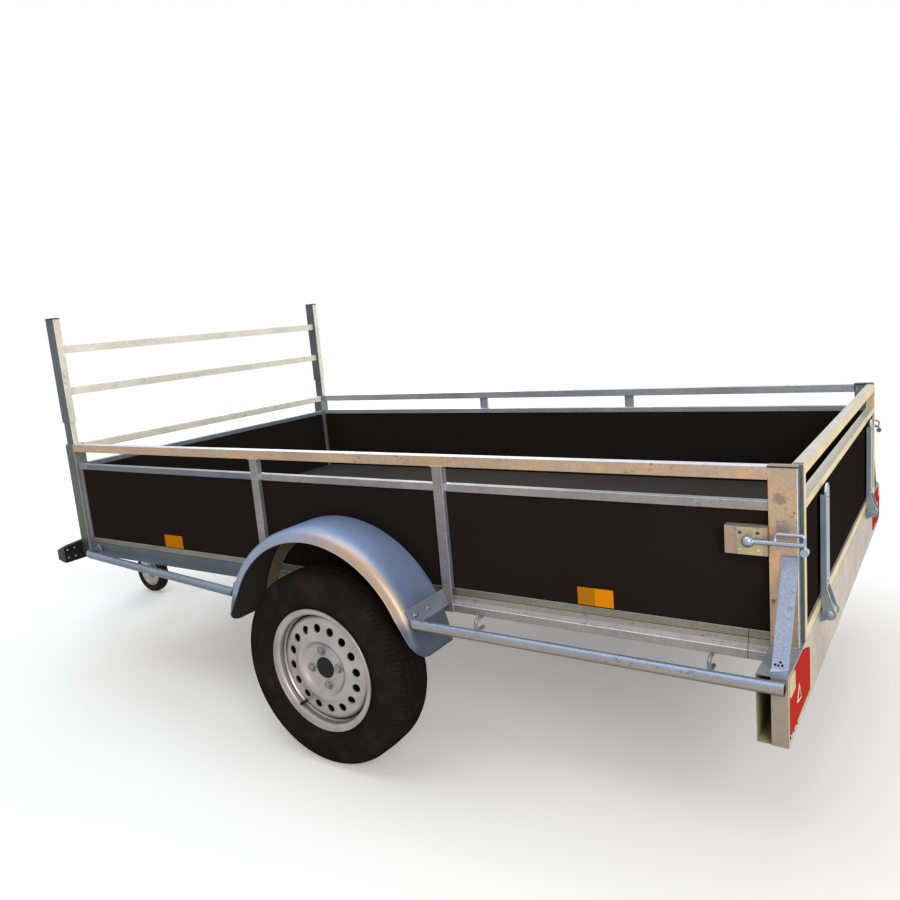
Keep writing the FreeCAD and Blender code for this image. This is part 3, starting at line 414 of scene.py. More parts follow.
@dataclass(frozen=True)
class Finish:
    """A surface as it was made. Each kind lays its own colour, gloss and relief."""

    label: str

    def material(self) -> bpy.types.Material:
        """Makes the finish's material once.

        Returns:
            The material.
        """
        known = bpy.data.materials.get(self.label)
        if known:
            return known
        material = bpy.data.materials.new(self.label)
        material.use_nodes = True
        tree = material.node_tree
        tree.nodes.clear()
        place = add(tree, "TexCoord").outputs["Object"]
        shader = add(tree, "BsdfPrincipled")
        add(tree, "OutputMaterial", {"Surface": shader.outputs[0]})
        self.lay(tree, shader, place)
        return material

    def lay(self, tree: Tree, shader: Node, place: Socket) -> None:
        """Lays colour, gloss and relief onto the shader."""
        raise NotImplementedError

    @staticmethod
    def lay_over(tree: Tree, shader: Node, share: Socket, colour: str) -> None:
        """Blends a further colour over the one that feeds the shader.

        Args:
            tree: The material's node tree.
            shader: The shader, whose colour is laid already.
            share: How much of the new colour covers.
            colour: The new colour.
        """
        laid = shader.inputs["Base Color"].links[0].from_socket
        blend = add(tree, "Mix", {SHARE: share, BELOW: laid, OVER: linear(colour)}, data_type="RGBA")
        plug(tree, shader, {"Base Color": blend.outputs[MIXED]})

    def dress(self, piece: Piece) -> None:
        """Puts the finish on all of a piece.

        Args:
            piece: The piece, which loses what it wore before.
        """
        piece.data.materials.clear()
        piece.data.materials.append(self.material())
        for face in piece.data.polygons:
            face.material_index = 0

    def touch_up(self, piece: Piece, wanted: Callable[[Face], bool]) -> None:
        """Puts the finish on some of a dressed piece's faces.

        Args:
            piece: The piece, which has a finish already.
            wanted: Says of a face whether it gets this one.
        """
        material = self.material()
        if material.name not in piece.data.materials:
            piece.data.materials.append(material)
        index = piece.data.materials.find(material.name)
        for face in piece.data.polygons:
            if wanted(face):
                face.material_index = index


@dataclass(frozen=True)
class Galvanised(Finish):
    """Steel with a zinc skin: crystals, cloudy patches, a painted cool reflection where it lies flat, stains, flecks
    and scuffs.

    The patterns are counted in waves per metre: clouds of 140 mm, streaks of 320 mm that run along the trailer,
    swarms of specks 90 mm wide, specks of 7 mm and a grain of 4 mm, drawn coarser than it is so that it shows.
    Faces that look back and down wear painted tones of light and shade.
    """

    side: str
    patch: str
    back: str = "c4b69c"
    top: str = "c9d2de"
    under: str = "83786a"
    spangle: float = 5 * MM
    spangle_depth: float = 0.06
    grain: float = 0.05
    metal: float = 0.5
    gloss: Span = (0.36, 0.52)
    fleck: float = 0.55
    stain: str = "5d5650"
    relief: float = 0.16
    mottle: float = 0.09
    clouds: float = 7.0
    streaks: float = 3.1
    swarms: float = 11.0
    specks: float = 150.0
    grains: float = 260.0

    def lay(self, tree: Tree, shader: Node, place: Socket) -> None:
        """Lays a painted light and shade tone for each way that a face looks, then crystals, grain, streaks, flecks
        and scuffs.

        Args:
            tree: The material's node tree.
            shader: The shader that takes them.
            place: Object coordinates.
        """
        cloud = add(tree, "TexNoise", {"Vector": place, "Scale": self.clouds, "Detail": 7.0, "Roughness": 0.62})
        patched = add(tree, "MapRange", {VALUE: cloud.outputs[0], FROM_LOW: 0.42, FROM_HIGH: 0.66, TO_HIGH: 0.75})
        tone = add(tree, "Mix", {SHARE: patched.outputs[0], BELOW: linear(self.side), OVER: linear(self.patch)},
                   data_type="RGBA")
        lean = add(tree, "SeparateXYZ", {0: add(tree, "TexCoord").outputs["Normal"]})
        # Painted light and shade: each tone with the lean at which it starts and the one at which it is full
        for axis, starts, full, colour in (("X", -0.25, -0.75, self.back), ("Z", 0.1, 0.7, self.top),
                                           ("Z", -0.15, -0.8, self.under)):
            share = add(tree, "MapRange", {VALUE: lean.outputs[axis], FROM_LOW: starts, FROM_HIGH: full})
            tone = add(tree, "Mix", {SHARE: share.outputs[0], BELOW: tone.outputs[MIXED], OVER: linear(colour)},
                       data_type="RGBA")
        crystals = add(tree, "TexVoronoi", {"Vector": place, "Scale": 1 / self.spangle, "Randomness": 1.0})
        shade = add(tree, "RGBToBW", {0: crystals.outputs["Color"]})
        fine = add(tree, "TexNoise", {"Vector": place, "Scale": self.grains, "Detail": 5.0, "Roughness": 0.7})
        along = add(tree, "Mapping", {0: place, "Scale": (1.0, 2.2, 2.2)})
        broad = add(tree, "TexNoise", {"Vector": along.outputs[0], "Scale": self.streaks, "Detail": 5.0,
                                       "Roughness": 0.7})
        # Each pattern with the stretch of it that counts and how much it lightens and darkens
        zinc = tone.outputs[MIXED]
        for pattern, low, high, depth in ((shade, 0.2, 0.8, self.spangle_depth), (fine, 0.3, 0.7, self.grain),
                                          (broad, 0.35, 0.65, self.mottle)):
            light = add(tree, "MapRange", {VALUE: pattern.outputs[0], FROM_LOW: low, FROM_HIGH: high,
                                           TO_LOW: 1 - depth, TO_HIGH: 1 + depth})
            zinc = add(tree, "VectorMath", {0: zinc, 1: light.outputs[0]}, operation="MULTIPLY").outputs[0]
        drops = add(tree, "Mapping", {0: place, "Scale": (0.45, 1.0, 1.0)})
        spots = add(tree, "TexNoise", {"Vector": drops.outputs[0], "Scale": self.specks, "Detail": 3.0,
                                       "Roughness": 0.6})
        swarm = add(tree, "TexNoise", {"Vector": place, "Scale": self.swarms, "Detail": 3.0})
        dense = add(tree, "MapRange", {VALUE: swarm.outputs[0], FROM_LOW: 0.35, FROM_HIGH: 0.75, TO_LOW: 0.70,
                                       TO_HIGH: 0.53})
        above = add(tree, "Math", {0: spots.outputs[0], 1: dense.outputs[0]}, operation="SUBTRACT")
        dark = add(tree, "MapRange", {VALUE: above.outputs[0], FROM_HIGH: 0.05, TO_HIGH: self.fleck})
        colour = add(tree, "Mix", {SHARE: dark.outputs[0], BELOW: zinc, OVER: linear(self.stain)}, data_type="RGBA")
        rough = add(tree, "MapRange", {VALUE: cloud.outputs[0], FROM_LOW: 0.3, FROM_HIGH: 0.7,
                                       TO_LOW: self.gloss[0], TO_HIGH: self.gloss[1]})
        height = add(tree, "Math", {0: fine.outputs[0], 1: spots.outputs[0]}, operation="ADD")
        bump = add(tree, "Bump", {"Height": height.outputs[0], "Strength": self.relief, "Distance": 0.5 * MM})
        plug(tree, shader, {"Base Color": colour.outputs[MIXED], "Roughness": rough.outputs[0],
                            "Normal": bump.outputs[0], "Metallic": self.metal})


@dataclass(frozen=True)
class Smear:
    """A worn patch on zinc: its middle, its reach in metres, its colour and how much of it covers."""

    middle: Point
    reach: float
    colour: str
    share: float


@dataclass(frozen=True)
class SmearedZinc(Galvanised):
    """Galvanised steel with ragged dark patches where it was handled and where drips stood.

    The noise that tears the patches' edges has 90 waves per metre, tears of about 11 mm.
    """

    smears: tuple[Smear, ...] = ()
    tears: float = 90.0

    def lay(self, tree: Tree, shader: Node, place: Socket) -> None:
        """Lays zinc and blends every smear over it, its edge broken by a noise.

        Args:
            tree: The material's node tree.
            shader: The shader that takes them.
            place: Object coordinates.
        """
        super().lay(tree, shader, place)
        ragged = add(tree, "TexNoise", {"Vector": place, "Scale": self.tears, "Detail": 5.0, "Roughness": 0.7})
        for smear in self.smears:
            away = add(tree, "VectorMath", {0: place, 1: smear.middle}, operation="DISTANCE")
            near = add(tree, "MapRange", {VALUE: away.outputs["Value"], FROM_HIGH: smear.reach, TO_LOW: 0.75,
                                          TO_HIGH: 0.0})
            torn = add(tree, "Math", {0: near.outputs[0], 1: ragged.outputs[0]}, operation="ADD")
            share = add(tree, "MapRange", {VALUE: torn.outputs[0], FROM_LOW: 0.72, FROM_HIGH: 0.95,
                                           TO_HIGH: smear.share})
            self.lay_over(tree, shader, share.outputs[0], smear.colour)


@dataclass(frozen=True)
class RolledSheet(Galvanised):
    """Zinc sheet rolled to a fender, with a painted highlight band along the rounding of its lip and painted shade on
    its tails.
    """

    rubbed: str = "b39c8a"
    dirty: str = "49535f"
    dirt_share: float = 0.85
    band: Span = (0.874, 0.892)
    rubbed_from: Span = (-0.522, -0.782)
    tail_top: float = 0.485

    def lay(self, tree: Tree, shader: Node, place: Socket) -> None:
        """Lays zinc and blends the painted highlight band and the painted shade of the tails over it.

        Args:
            tree: The material's node tree.
            shader: The shader that takes them.
            place: Object coordinates.
        """
        super().lay(tree, shader, place)
        spot = add(tree, "SeparateXYZ", {0: place})
        aside = add(tree, "Math", {0: spot.outputs["Y"]}, operation="ABSOLUTE")
        share = None
        # The painted highlight band lies on the lip, fades out ahead of the wheel and ends above the tails
        for along, (starts, full) in ((aside.outputs[0], self.band), (spot.outputs["X"], self.rubbed_from),
                                      (spot.outputs["Z"], (self.tail_top - 0.07, self.tail_top + 0.03))):
            part = add(tree, "MapRange", {VALUE: along, FROM_LOW: starts, FROM_HIGH: full},
                       interpolation_type="SMOOTHSTEP")
            share = part if share is None else add(tree, "Math", {0: share.outputs[0], 1: part.outputs[0]},
                                                   operation="MULTIPLY")
        self.lay_over(tree, shader, share.outputs[0], self.rubbed)
        # Painted shade on the tails, darker towards their ends
        low = add(tree, "MapRange", {VALUE: spot.outputs["Z"], FROM_LOW: self.tail_top,
                                     FROM_HIGH: self.tail_top - 0.03, TO_HIGH: self.dirt_share})
        self.lay_over(tree, shader, low.outputs[0], self.dirty)


@dataclass(frozen=True)
class Clouded(Finish):
    """A moulded, pressed or sprayed surface: clouds of a second tone over the first, above a fine grain.

    Clouds and grain are counted in waves per metre. A gloss of two like numbers is the same all over.
    """

    tone: str
    second: str
    clouds: float = 3.0
    cloud_rough: float = 0.6
    cloud_span: Span = (0.4, 0.8)
    cloud_share: float = 1.0
    grains: float = 300.0
    grain_detail: float = 2.0
    gloss: Span = (0.7, 0.7)
    relief: float = 0.08
    depth: float = 0.3 * MM
    metal: float = 0.0
    specular: float = 0.0

    def lay(self, tree: Tree, shader: Node, place: Socket) -> None:
        """Lays both tones, the gloss and the grain.

        Args:
            tree: The material's node tree.
            shader: The shader that takes them.
            place: Object coordinates.
        """
        cloud = add(tree, "TexNoise", {"Vector": place, "Scale": self.clouds, "Detail": 6.0,
                                       "Roughness": self.cloud_rough})
        grain = add(tree, "TexNoise", {"Vector": place, "Scale": self.grains, "Detail": self.grain_detail})
        share = add(tree, "MapRange", {VALUE: cloud.outputs[0], FROM_LOW: self.cloud_span[0],
                                       FROM_HIGH: self.cloud_span[1], TO_HIGH: self.cloud_share})
        colour = add(tree, "Mix", {SHARE: share.outputs[0], BELOW: linear(self.tone), OVER: linear(self.second)},
                     data_type="RGBA")
        rough, roughest = self.gloss
        if rough != roughest:
            rough = add(tree, "MapRange", {VALUE: cloud.outputs[0], TO_LOW: rough, TO_HIGH: roughest}).outputs[0]
        bump = add(tree, "Bump", {"Height": grain.outputs[0], "Strength": self.relief, "Distance": self.depth})
        plug(tree, shader, {"Base Color": colour.outputs[MIXED], "Roughness": rough, "Normal": bump.outputs[0],
                            "Metallic": self.metal, "Specular IOR Level": self.specular})


@dataclass(frozen=True)
class Rubber(Clouded):
    """Vulcanised rubber: near black, matt, with a dusty bloom of 55 mm clouds over a moulded grain of 2.4 mm."""

    clouds: float = 18.0
    cloud_rough: float = 0.65
    cloud_span: Span = (0.45, 0.75)
    cloud_share: float = 0.6
    grains: float = 420.0
    grain_detail: float = 3.0
    gloss: Span = (0.62, 0.85)
    relief: float = 0.3
    depth: float = 0.5 * MM


@dataclass(frozen=True)
class WheelPaint(Clouded):
    """Silver lacquer baked on pressed steel: warm grey under dust clouds of 70 mm, with a flake of 1 mm."""

    clouds: float = 14.0
    cloud_span: Span = (0.42, 0.75)
    cloud_share: float = 0.7
    grains: float = 900.0
    grain_detail: float = 1.0
    gloss: Span = (0.28, 0.46)
    relief: float = 0.12
    depth: float = 0.2 * MM
    metal: float = 0.7
    specular: float = 0.5


@dataclass(frozen=True)
class FilmFacedPlywood(Clouded):
    """Birch plywood pressed with a phenolic film: almost black, in faint clouds of 330 mm over a 3 mm mesh grain."""


@dataclass(frozen=True)
class Plastic(Finish):
    """Moulded plastic: one colour through and through, satin, with flow clouds of 25 mm and a grain of 1.4 mm."""

    tone: str = "1b1b1d"
    rough: float = 0.45

    def lay(self, tree: Tree, shader: Node, place: Socket) -> None:
        """Lays the colour with a slight cloud and a moulded grain.

        Args:
            tree: The material's node tree.
            shader: The shader that takes them.
            place: Object coordinates.
        """
        cloud = add(tree, "TexNoise", {"Vector": place, "Scale": 40.0, "Detail": 4.0})
        grain = add(tree, "TexNoise", {"Vector": place, "Scale": 700.0, "Detail": 2.0})
        deeper = linear(self.tone)
        paler = (*[min(1.0, part * 1.35 + 0.004) for part in deeper[:3]], 1.0)
        colour = add(tree, "Mix", {SHARE: cloud.outputs[0], BELOW: deeper, OVER: paler}, data_type="RGBA")
        bump = add(tree, "Bump", {"Height": grain.outputs[0], "Strength": 0.1, "Distance": 0.2 * MM})
        plug(tree, shader, {"Base Color": colour.outputs[MIXED], "Normal": bump.outputs[0], "Roughness": self.rough,
                            "Specular IOR Level": 0.08})


@dataclass(frozen=True)
class Lens(Finish):
    """Pressed acrylic lens: clear colour over small prisms that break the light in a grid."""

    tone: str
    deep: str
    pitch: float = 5 * MM
    prism: float = 0.25

    def lay(self, tree: Tree, shader: Node, place: Socket) -> None:
        """Lays the lens colour with its prisms.

        Args:
            tree: The material's node tree.
            shader: The shader that takes them.
            place: Object coordinates.
        """
        prisms = add(tree, "TexVoronoi", {"Vector": place, "Scale": 1 / self.pitch, "Randomness": 0.0},
                     distance="CHEBYCHEV")
        share = add(tree, "MapRange", {VALUE: prisms.outputs["Distance"], FROM_LOW: 0.1, FROM_HIGH: 0.5,
                                       TO_HIGH: 0.8})
        colour = add(tree, "Mix", {SHARE: share.outputs[0], BELOW: linear(self.tone), OVER: linear(self.deep)},
                     data_type="RGBA")
        bump = add(tree, "Bump", {"Height": prisms.outputs["Distance"], "Strength": self.prism,
                                  "Distance": 0.6 * MM})
        plug(tree, shader, {"Base Color": colour.outputs[MIXED], "Normal": bump.outputs[0], "Roughness": 0.3,
                            "Specular IOR Level": 0.0})


# Tube dipped whole after welding: tan where it stands upright, a painted blue white sky reflection where it lies flat,
# dark specks
RAIL_ZINC = Galvanised("hot_dip_galvanised_rail", side="b8997a", patch="a1988f", back="9c9a90", fleck=0.75,
                       mottle=0.12)
# The rear posts, the same with stains round the latch
REAR_POST_ZINC = SmearedZinc(
    "stained_galvanised_rear_post", side="b8997a", patch="a1988f", back="9c9a90", fleck=0.8, mottle=0.12, smears=(
        Smear((-1.806, 0.720, 0.812), 0.022, "746860", 0.65), Smear((-1.809, 0.720, 0.748), 0.028, "857679", 0.65),
        Smear((-1.790, 0.720, 0.588), 0.008, "4f4740", 0.9)))
# The mid rails: a mauve grey, painted darker on top as a reflection, under a painted highlight on the upper edge
MID_ZINC = Galvanised("hot_dip_galvanised_mid_rail", side="8f8783", patch="73747b", top="76808d", back="a3a09e",
                      mottle=0.14)
# Uprights: a lilac grey with pale spots
POST_ZINC = Galvanised("hot_dip_galvanised_upright", side="8a8381", patch="76757b", back="9092a0", top="c3ccd6",
                       grain=0.16, mottle=0.16)
# Ladder posts: dark grey outside, with painted pale light where they look back
DARK_ZINC = Galvanised("hot_dip_galvanised_ladder_post", side="4b545d", patch="434a54", back="f1ebda", top="b3bcc6",
                       metal=0.25, mottle=0.14)
# Front posts: a green grey, shaded where they look back
FRONT_ZINC = Galvanised("hot_dip_galvanised_front_post", side="50544f", patch="585d59", back="8b9092", top="8c9290",
                        mottle=0.12)
# Lower rail of the headboard, blue against the cream one above it
HEAD_RAIL_ZINC = Galvanised("hot_dip_galvanised_head_rail", side="8f99a5", patch="838d99", back="808c9a", top="b0bac6",
                            mottle=0.14)
# Ends and narrow edges of the rear posts and the gate's ends beside them: painted shade, dark with a cold edge
SHADE_ZINC = Galvanised("hot_dip_galvanised_post_edge", side="66696d", patch="6a6e73", back="747a80", top="6a6f75")
# Painted highlight on the rolled corners of the uprights, rails, posts and straps
CORNER_HIGHLIGHT = Galvanised("thick_zinc_on_corners", side="c9cdd2", patch="b9bdc2", back="d3d7dc", top="e3e6ea",
                         grain=0.1, fleck=0.2)
# Cross bars and headboard rails: cream, with painted paler light where they look back
CREAM_ZINC = Galvanised("hot_dip_galvanised_cross_bar", side="dcd9cd", patch="c9ccce", back="f4efdf", top="e6e9eb",
                        under="9f9a8c", fleck=0.3, metal=0.2, mottle=0.1)
# The right hand frame, seen from inside: pale and cool
FAR_ZINC = Galvanised("hot_dip_galvanised_far_frame", side="a9b0b8", patch="979fa8", back="c3bfb2", top="d3dae2",
                      fleck=0.35, mottle=0.12)
# Tailgate frame: painted cream light on the faces that look back
GATE_ZINC = Galvanised("hot_dip_galvanised_gate", side="c8b68e", patch="c9bc98", back="e2cd9a", top="c6c4b8",
                       fleck=0.3, mottle=0.1)
# Round tube: a painted blue sky reflection above, tan along its middle, painted dark brown shade below
TUBE_ZINC = Galvanised("galvanised_round_tube", side="958a80", patch="8a8684", back="8b8a8a", top="8794a8",
                       under="4a3d31", gloss=(0.28, 0.4), grain=0.1)
# Coil sheet, coated before it was rolled: even, smooth, blue grey, with a painted warm highlight on the lip and
# painted shade on the tails and where it looks back
SHEET_ZINC = RolledSheet("rolled_galvanised_sheet", side="8f9ab0", patch="8590a5", back="5c687b", top="8399bb",
                         under="5a6067", spangle=3 * MM, spangle_depth=0.03, grain=0.05, gloss=(0.36, 0.48),
                         fleck=0.0, relief=0.04, mottle=0.05)
# Folded chassis steel: duller, with brushed out drips
CHASSIS_ZINC = Galvanised("hot_dip_galvanised_chassis", side="8d8780", patch="85837f", back="8b8880", top="8f8a81",
                          under="6e675d", grain=0.09, gloss=(0.4, 0.55), metal=0.4)
# The sill's upright lip, greenish and streaked
SILL_LIP = Galvanised("galvanised_sill_lip", side="7a776b", patch="8a857a", top="a3a49d", grain=0.2, fleck=0.6,
                      mottle=0.14)
# The sill's lower face, a violet grey
SILL_FACE = Galvanised("galvanised_sill_face", side="8b8889", patch="96918b", top="c9c6c4", grain=0.1, fleck=0.35)
# The light board's sheet: pale and even
BOARD_ZINC = Galvanised("galvanised_board_sheet", side="8f8576", patch="978f80", back="bfb6a4", top="9da6ad",
                        under="6b6458", spangle_depth=0.04, grain=0.05, metal=0.35, mottle=0.2)
# The light board's inside: dusty and never glossy, its brown painted pale as light in its shade
BOARD_INSIDE = Galvanised("dusty_board_inside", side="968a6a", patch="887c5e", back="8d8162", top="b5aa88", metal=0.0,
                          gloss=(0.7, 0.8))
# The lower half of the sill's ledge: a painted sheen, a pale lilac grey
SILL_SHEEN = Galvanised("washed_sill_ledge", side="9f9c9e", patch="939092", back="9f9c9e", top="a5a3a6", mottle=0.12)
# Sill ahead of the fender: painted shade, a slate blue
SILL_SHADE = Galvanised("shaded_sill_front", side="465159", patch="3f4a51", back="465159", top="505c66", mottle=0.14)
# The tube and the middle rail ahead of the uprights: painted shade, blue as the sky lights it
FRONT_TUBE_SHADE = Galvanised("galvanised_front_tube", side="66727f", patch="5d6873", back="66727f", top="8493a6",
                        under="3c4047", gloss=(0.28, 0.4), grain=0.1)
FRONT_RAIL_SHADE = Galvanised("galvanised_front_mid_rail", side="676b75", patch="5d616b", back="a3a09e", top="7c8795",
                        mottle=0.14)
# Painted highlight along a fold's outer edge
FOLD_HIGHLIGHT = Galvanised("burnished_fold_edge", side="f2f2f0", patch="d8d8d6", back="f2f2f0", top="f6f6f4", fleck=0.1)
# Flat bar with a clear crystal pattern, a cool blue
BAR_ZINC = Galvanised("spangled_galvanised_bar", side="8692aa", patch="7f8b9f", back="7c8798", top="95a3bb",
                      under="6a7078", spangle=3.5 * MM, spangle_depth=0.1, grain=0.1, fleck=0.3)
# Fender strip: the same bar, smoother and greyer
STRIP_ZINC = Galvanised("galvanised_fender_strip", side="7d8899", patch="747f90", back="6c7684", top="a3adb9",
                        under="565d68", spangle_depth=0.04, grain=0.05, fleck=0.1)
# Pressed hinge channel, blue grey with an olive cast
STRAP_ZINC = Galvanised("zinc_plated_hinge_channel", side="8595a3", patch="77827f", back="8e9ca6", top="b4c0c9",
                        under="55585a", spangle_depth=0.04, gloss=(0.3, 0.42), fleck=0.25, metal=0.3, mottle=0.14)
# Yellow passivated zinc plate on the latch, with a rainbow cast
PLATE_ZINC = Galvanised("passivated_zinc_plate", side="b3a27c", patch="a29591", back="a8987a", top="c3b795",
                        under="7d6c50", spangle_depth=0.03, gloss=(0.28, 0.4), fleck=0.25)
# The latch's spacer block under the plate, browner
BLOCK_ZINC = Galvanised("galvanised_latch_block", side="a5917c", patch="998a7c", back="9a8c7c", top="b5ac9c",
                        under="6f6353", spangle_depth=0.05)
# Bright electroplated zinc on turned and bent parts
BRIGHT_ZINC = Galvanised("bright_zinc_plate", side="8f9aa8", patch="84888f", back="98a1ad", top="a9b8cd",
                         under="5c5f64", spangle_depth=0.02, grain=0.03, gloss=(0.2, 0.3), metal=0.85, fleck=0.15)
# Hook steel with a thin zinc plate, a plain grey, with painted shade below
HOOK_ZINC = Galvanised("thin_zinc_on_hook_steel", side="7c8184", patch="74797c", back="84898c", top="8f979d",
                       under="2f302f", spangle_depth=0.03, gloss=(0.36, 0.46), metal=0.35, fleck=0.2)
# Wheel bolts: zinc gone yellowish
BOLT_ZINC = Galvanised("dull_bolt_zinc", side="7d7d80", patch="6f7074", back="6d6d70", top="9a9b9f", under="45464a",
                       spangle_depth=0.02, gloss=(0.26, 0.36), metal=0.6, fleck=0.2)
# Weld metal dipped over, rough and pale
WELD_ZINC = Galvanised("galvanised_weld_bead", side="aaa6a0", patch="9c9790", back="a8a59c", top="c9ccd0",
                       grain=0.18, relief=0.5)
# The posts' cap plates, dark at their cut edge
CAP_ZINC = Galvanised("galvanised_cap_plate", side="3b352f", patch="342f2a", back="3f3a34", top="8d8374", fleck=0.3)
# Shot blasted cast steel of the coupling
CAST_STEEL = Galvanised("shot_blasted_cast_steel", side="77777a", patch="696562", back="77777a", top="8c8f93",
                        under="4a4846", grain=0.14, gloss=(0.45, 0.6), fleck=0.35, relief=0.4)
# Painted shade with road grime: inside wheels and fenders, on the hub, axle arms and the plate behind the wheel, in
# creases and bores
GRIME_AND_SHADE = Galvanised("brake_dust_and_grime", side="1f1d1c", patch="282422", back="1f1d1c", top="242120", under="171514",
                   metal=0.0, gloss=(0.8, 0.9), fleck=0.2, relief=0.5)
# Painted shade on the fender's inner flange, a dark tan
FLANGE_SHADE = Galvanised("dried_road_dust_on_zinc", side="6e6347", patch="5c523b", back="6e6347", top="6e6347",
                       metal=0.0, gloss=(0.75, 0.85), fleck=0.5, relief=0.5)
# Film pressed onto birch ply: almost black on the sides, a grey brown on the floor that is a painted reflection
PLYWOOD = FilmFacedPlywood("film_faced_plywood", tone="231e1c", second="27221f")
FLOOR_PLY = FilmFacedPlywood("film_faced_plywood_floor", tone="453f3b", second="4c4642")
# Carbon black rubber from a steam mould: matt, brown with dust on the road, greyer on the castor
TYRE_RUBBER = Rubber("vulcanised_road_rubber", tone="211d1b", second="352f2b")
CASTOR_RUBBER = Rubber("vulcanised_castor_rubber", tone="2a2928", second="514c47")
# Baked lacquer over pressed steel, a warm silver that dust dulls
SILVER_PAINT = WheelPaint("silver_wheel_lacquer", tone="aaa4a3", second="8a8078")
# Black polypropylene from a mould: satin and even
BLACK_PLASTIC = Plastic("moulded_black_plastic")
# Acrylic pressed into lenses and reflectors: clear strong colours over small prisms, the front lamp's under dust
RED_LENS = Lens("red_acrylic_lens", tone="d24238", deep="ad2a22")
RED_REFLECTOR = Lens("red_prism_reflector", tone="b02a24", deep="7d1916", pitch=3 * MM)
AMBER_LENS = Lens("amber_acrylic_lens", tone="ea9412", deep="d07d0c")
AMBER_DEEP = Lens("amber_prism_reflector", tone="c97f1c", deep="a8660f", pitch=4 * MM)
AMBER_FRONT = Lens("amber_front_reflector", tone="ee8f10", deep="985c0a", pitch=4 * MM)
CREAM_LENS = Lens("cream_reverse_lens", tone="e6d8ba", deep="cbb894")
CLEAR_LENS = Lens("dusty_clear_lens", tone="46524e", deep="5c605f")
# Painted white highlight round the triangle
TRIANGLE_HIGHLIGHT = Plastic("white_reflective_film", tone="dcd9cf", rough=0.6)
# Nickel on the front lamp's screws
SCREW_BRIGHT = Galvanised("nickel_plated_screw", side="c3c6c8", patch="b4b7ba", back="c9cccd", top="d5d8da",
                          spangle_depth=0.0, grain=0.03, gloss=(0.25, 0.35), fleck=0.0, metal=0.6)
# Blackened heads of small screws, matt
BLACK_SCREW = Plastic("blackened_screw_head", tone="181614", rough=0.6)


def show(piece: Piece, body: str, finish: Finish, slot: str, *nodes: str) -> Piece:
    """Dresses a finished piece, lets it ride on its body and hides the nodes that it stands for.

    Args:
        piece: The finished piece.
        body: The body that carries it.
        finish: Its finish.
        slot: The record's material slot that the finish comes from; not used.
        nodes: The nodes that it stands for.

    Returns:
        The piece.
    """
    settle(piece)
    if not piece.data.materials:
        finish.dress(piece)
    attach(piece, body)
    if nodes:
        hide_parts(*nodes)
    log.info("%s: %d faces on %s", piece.name, len(piece.data.polygons), body)
    return piece


def show_both(piece: Piece, body: str, finish: Finish, slot: str, far: Finish | None = None) -> None:
    """Mirrors a finished piece of the left side to the right and shows the two.

    Args:
        piece: The piece, whose name ends in _left.
        body: The body that carries both.
        finish: Its finish.
        slot: The record's material slot that the finish comes from.
        far: The finish of the right one, where that is another.
    """
    show(mirrored(piece, piece.name.replace("_left", "_right")), body, far or finish, slot)
    show(piece, body, finish, slot)


# --- The studio ------------------------------------------------------------------------------------------------------


@dataclass(frozen=True)
class Lamp:
    """A soft box: where it stands, what it faces, its width, power and colour."""

    name: str
    place: Point
    faces: Point
    width: float
    power: float
    colour: str


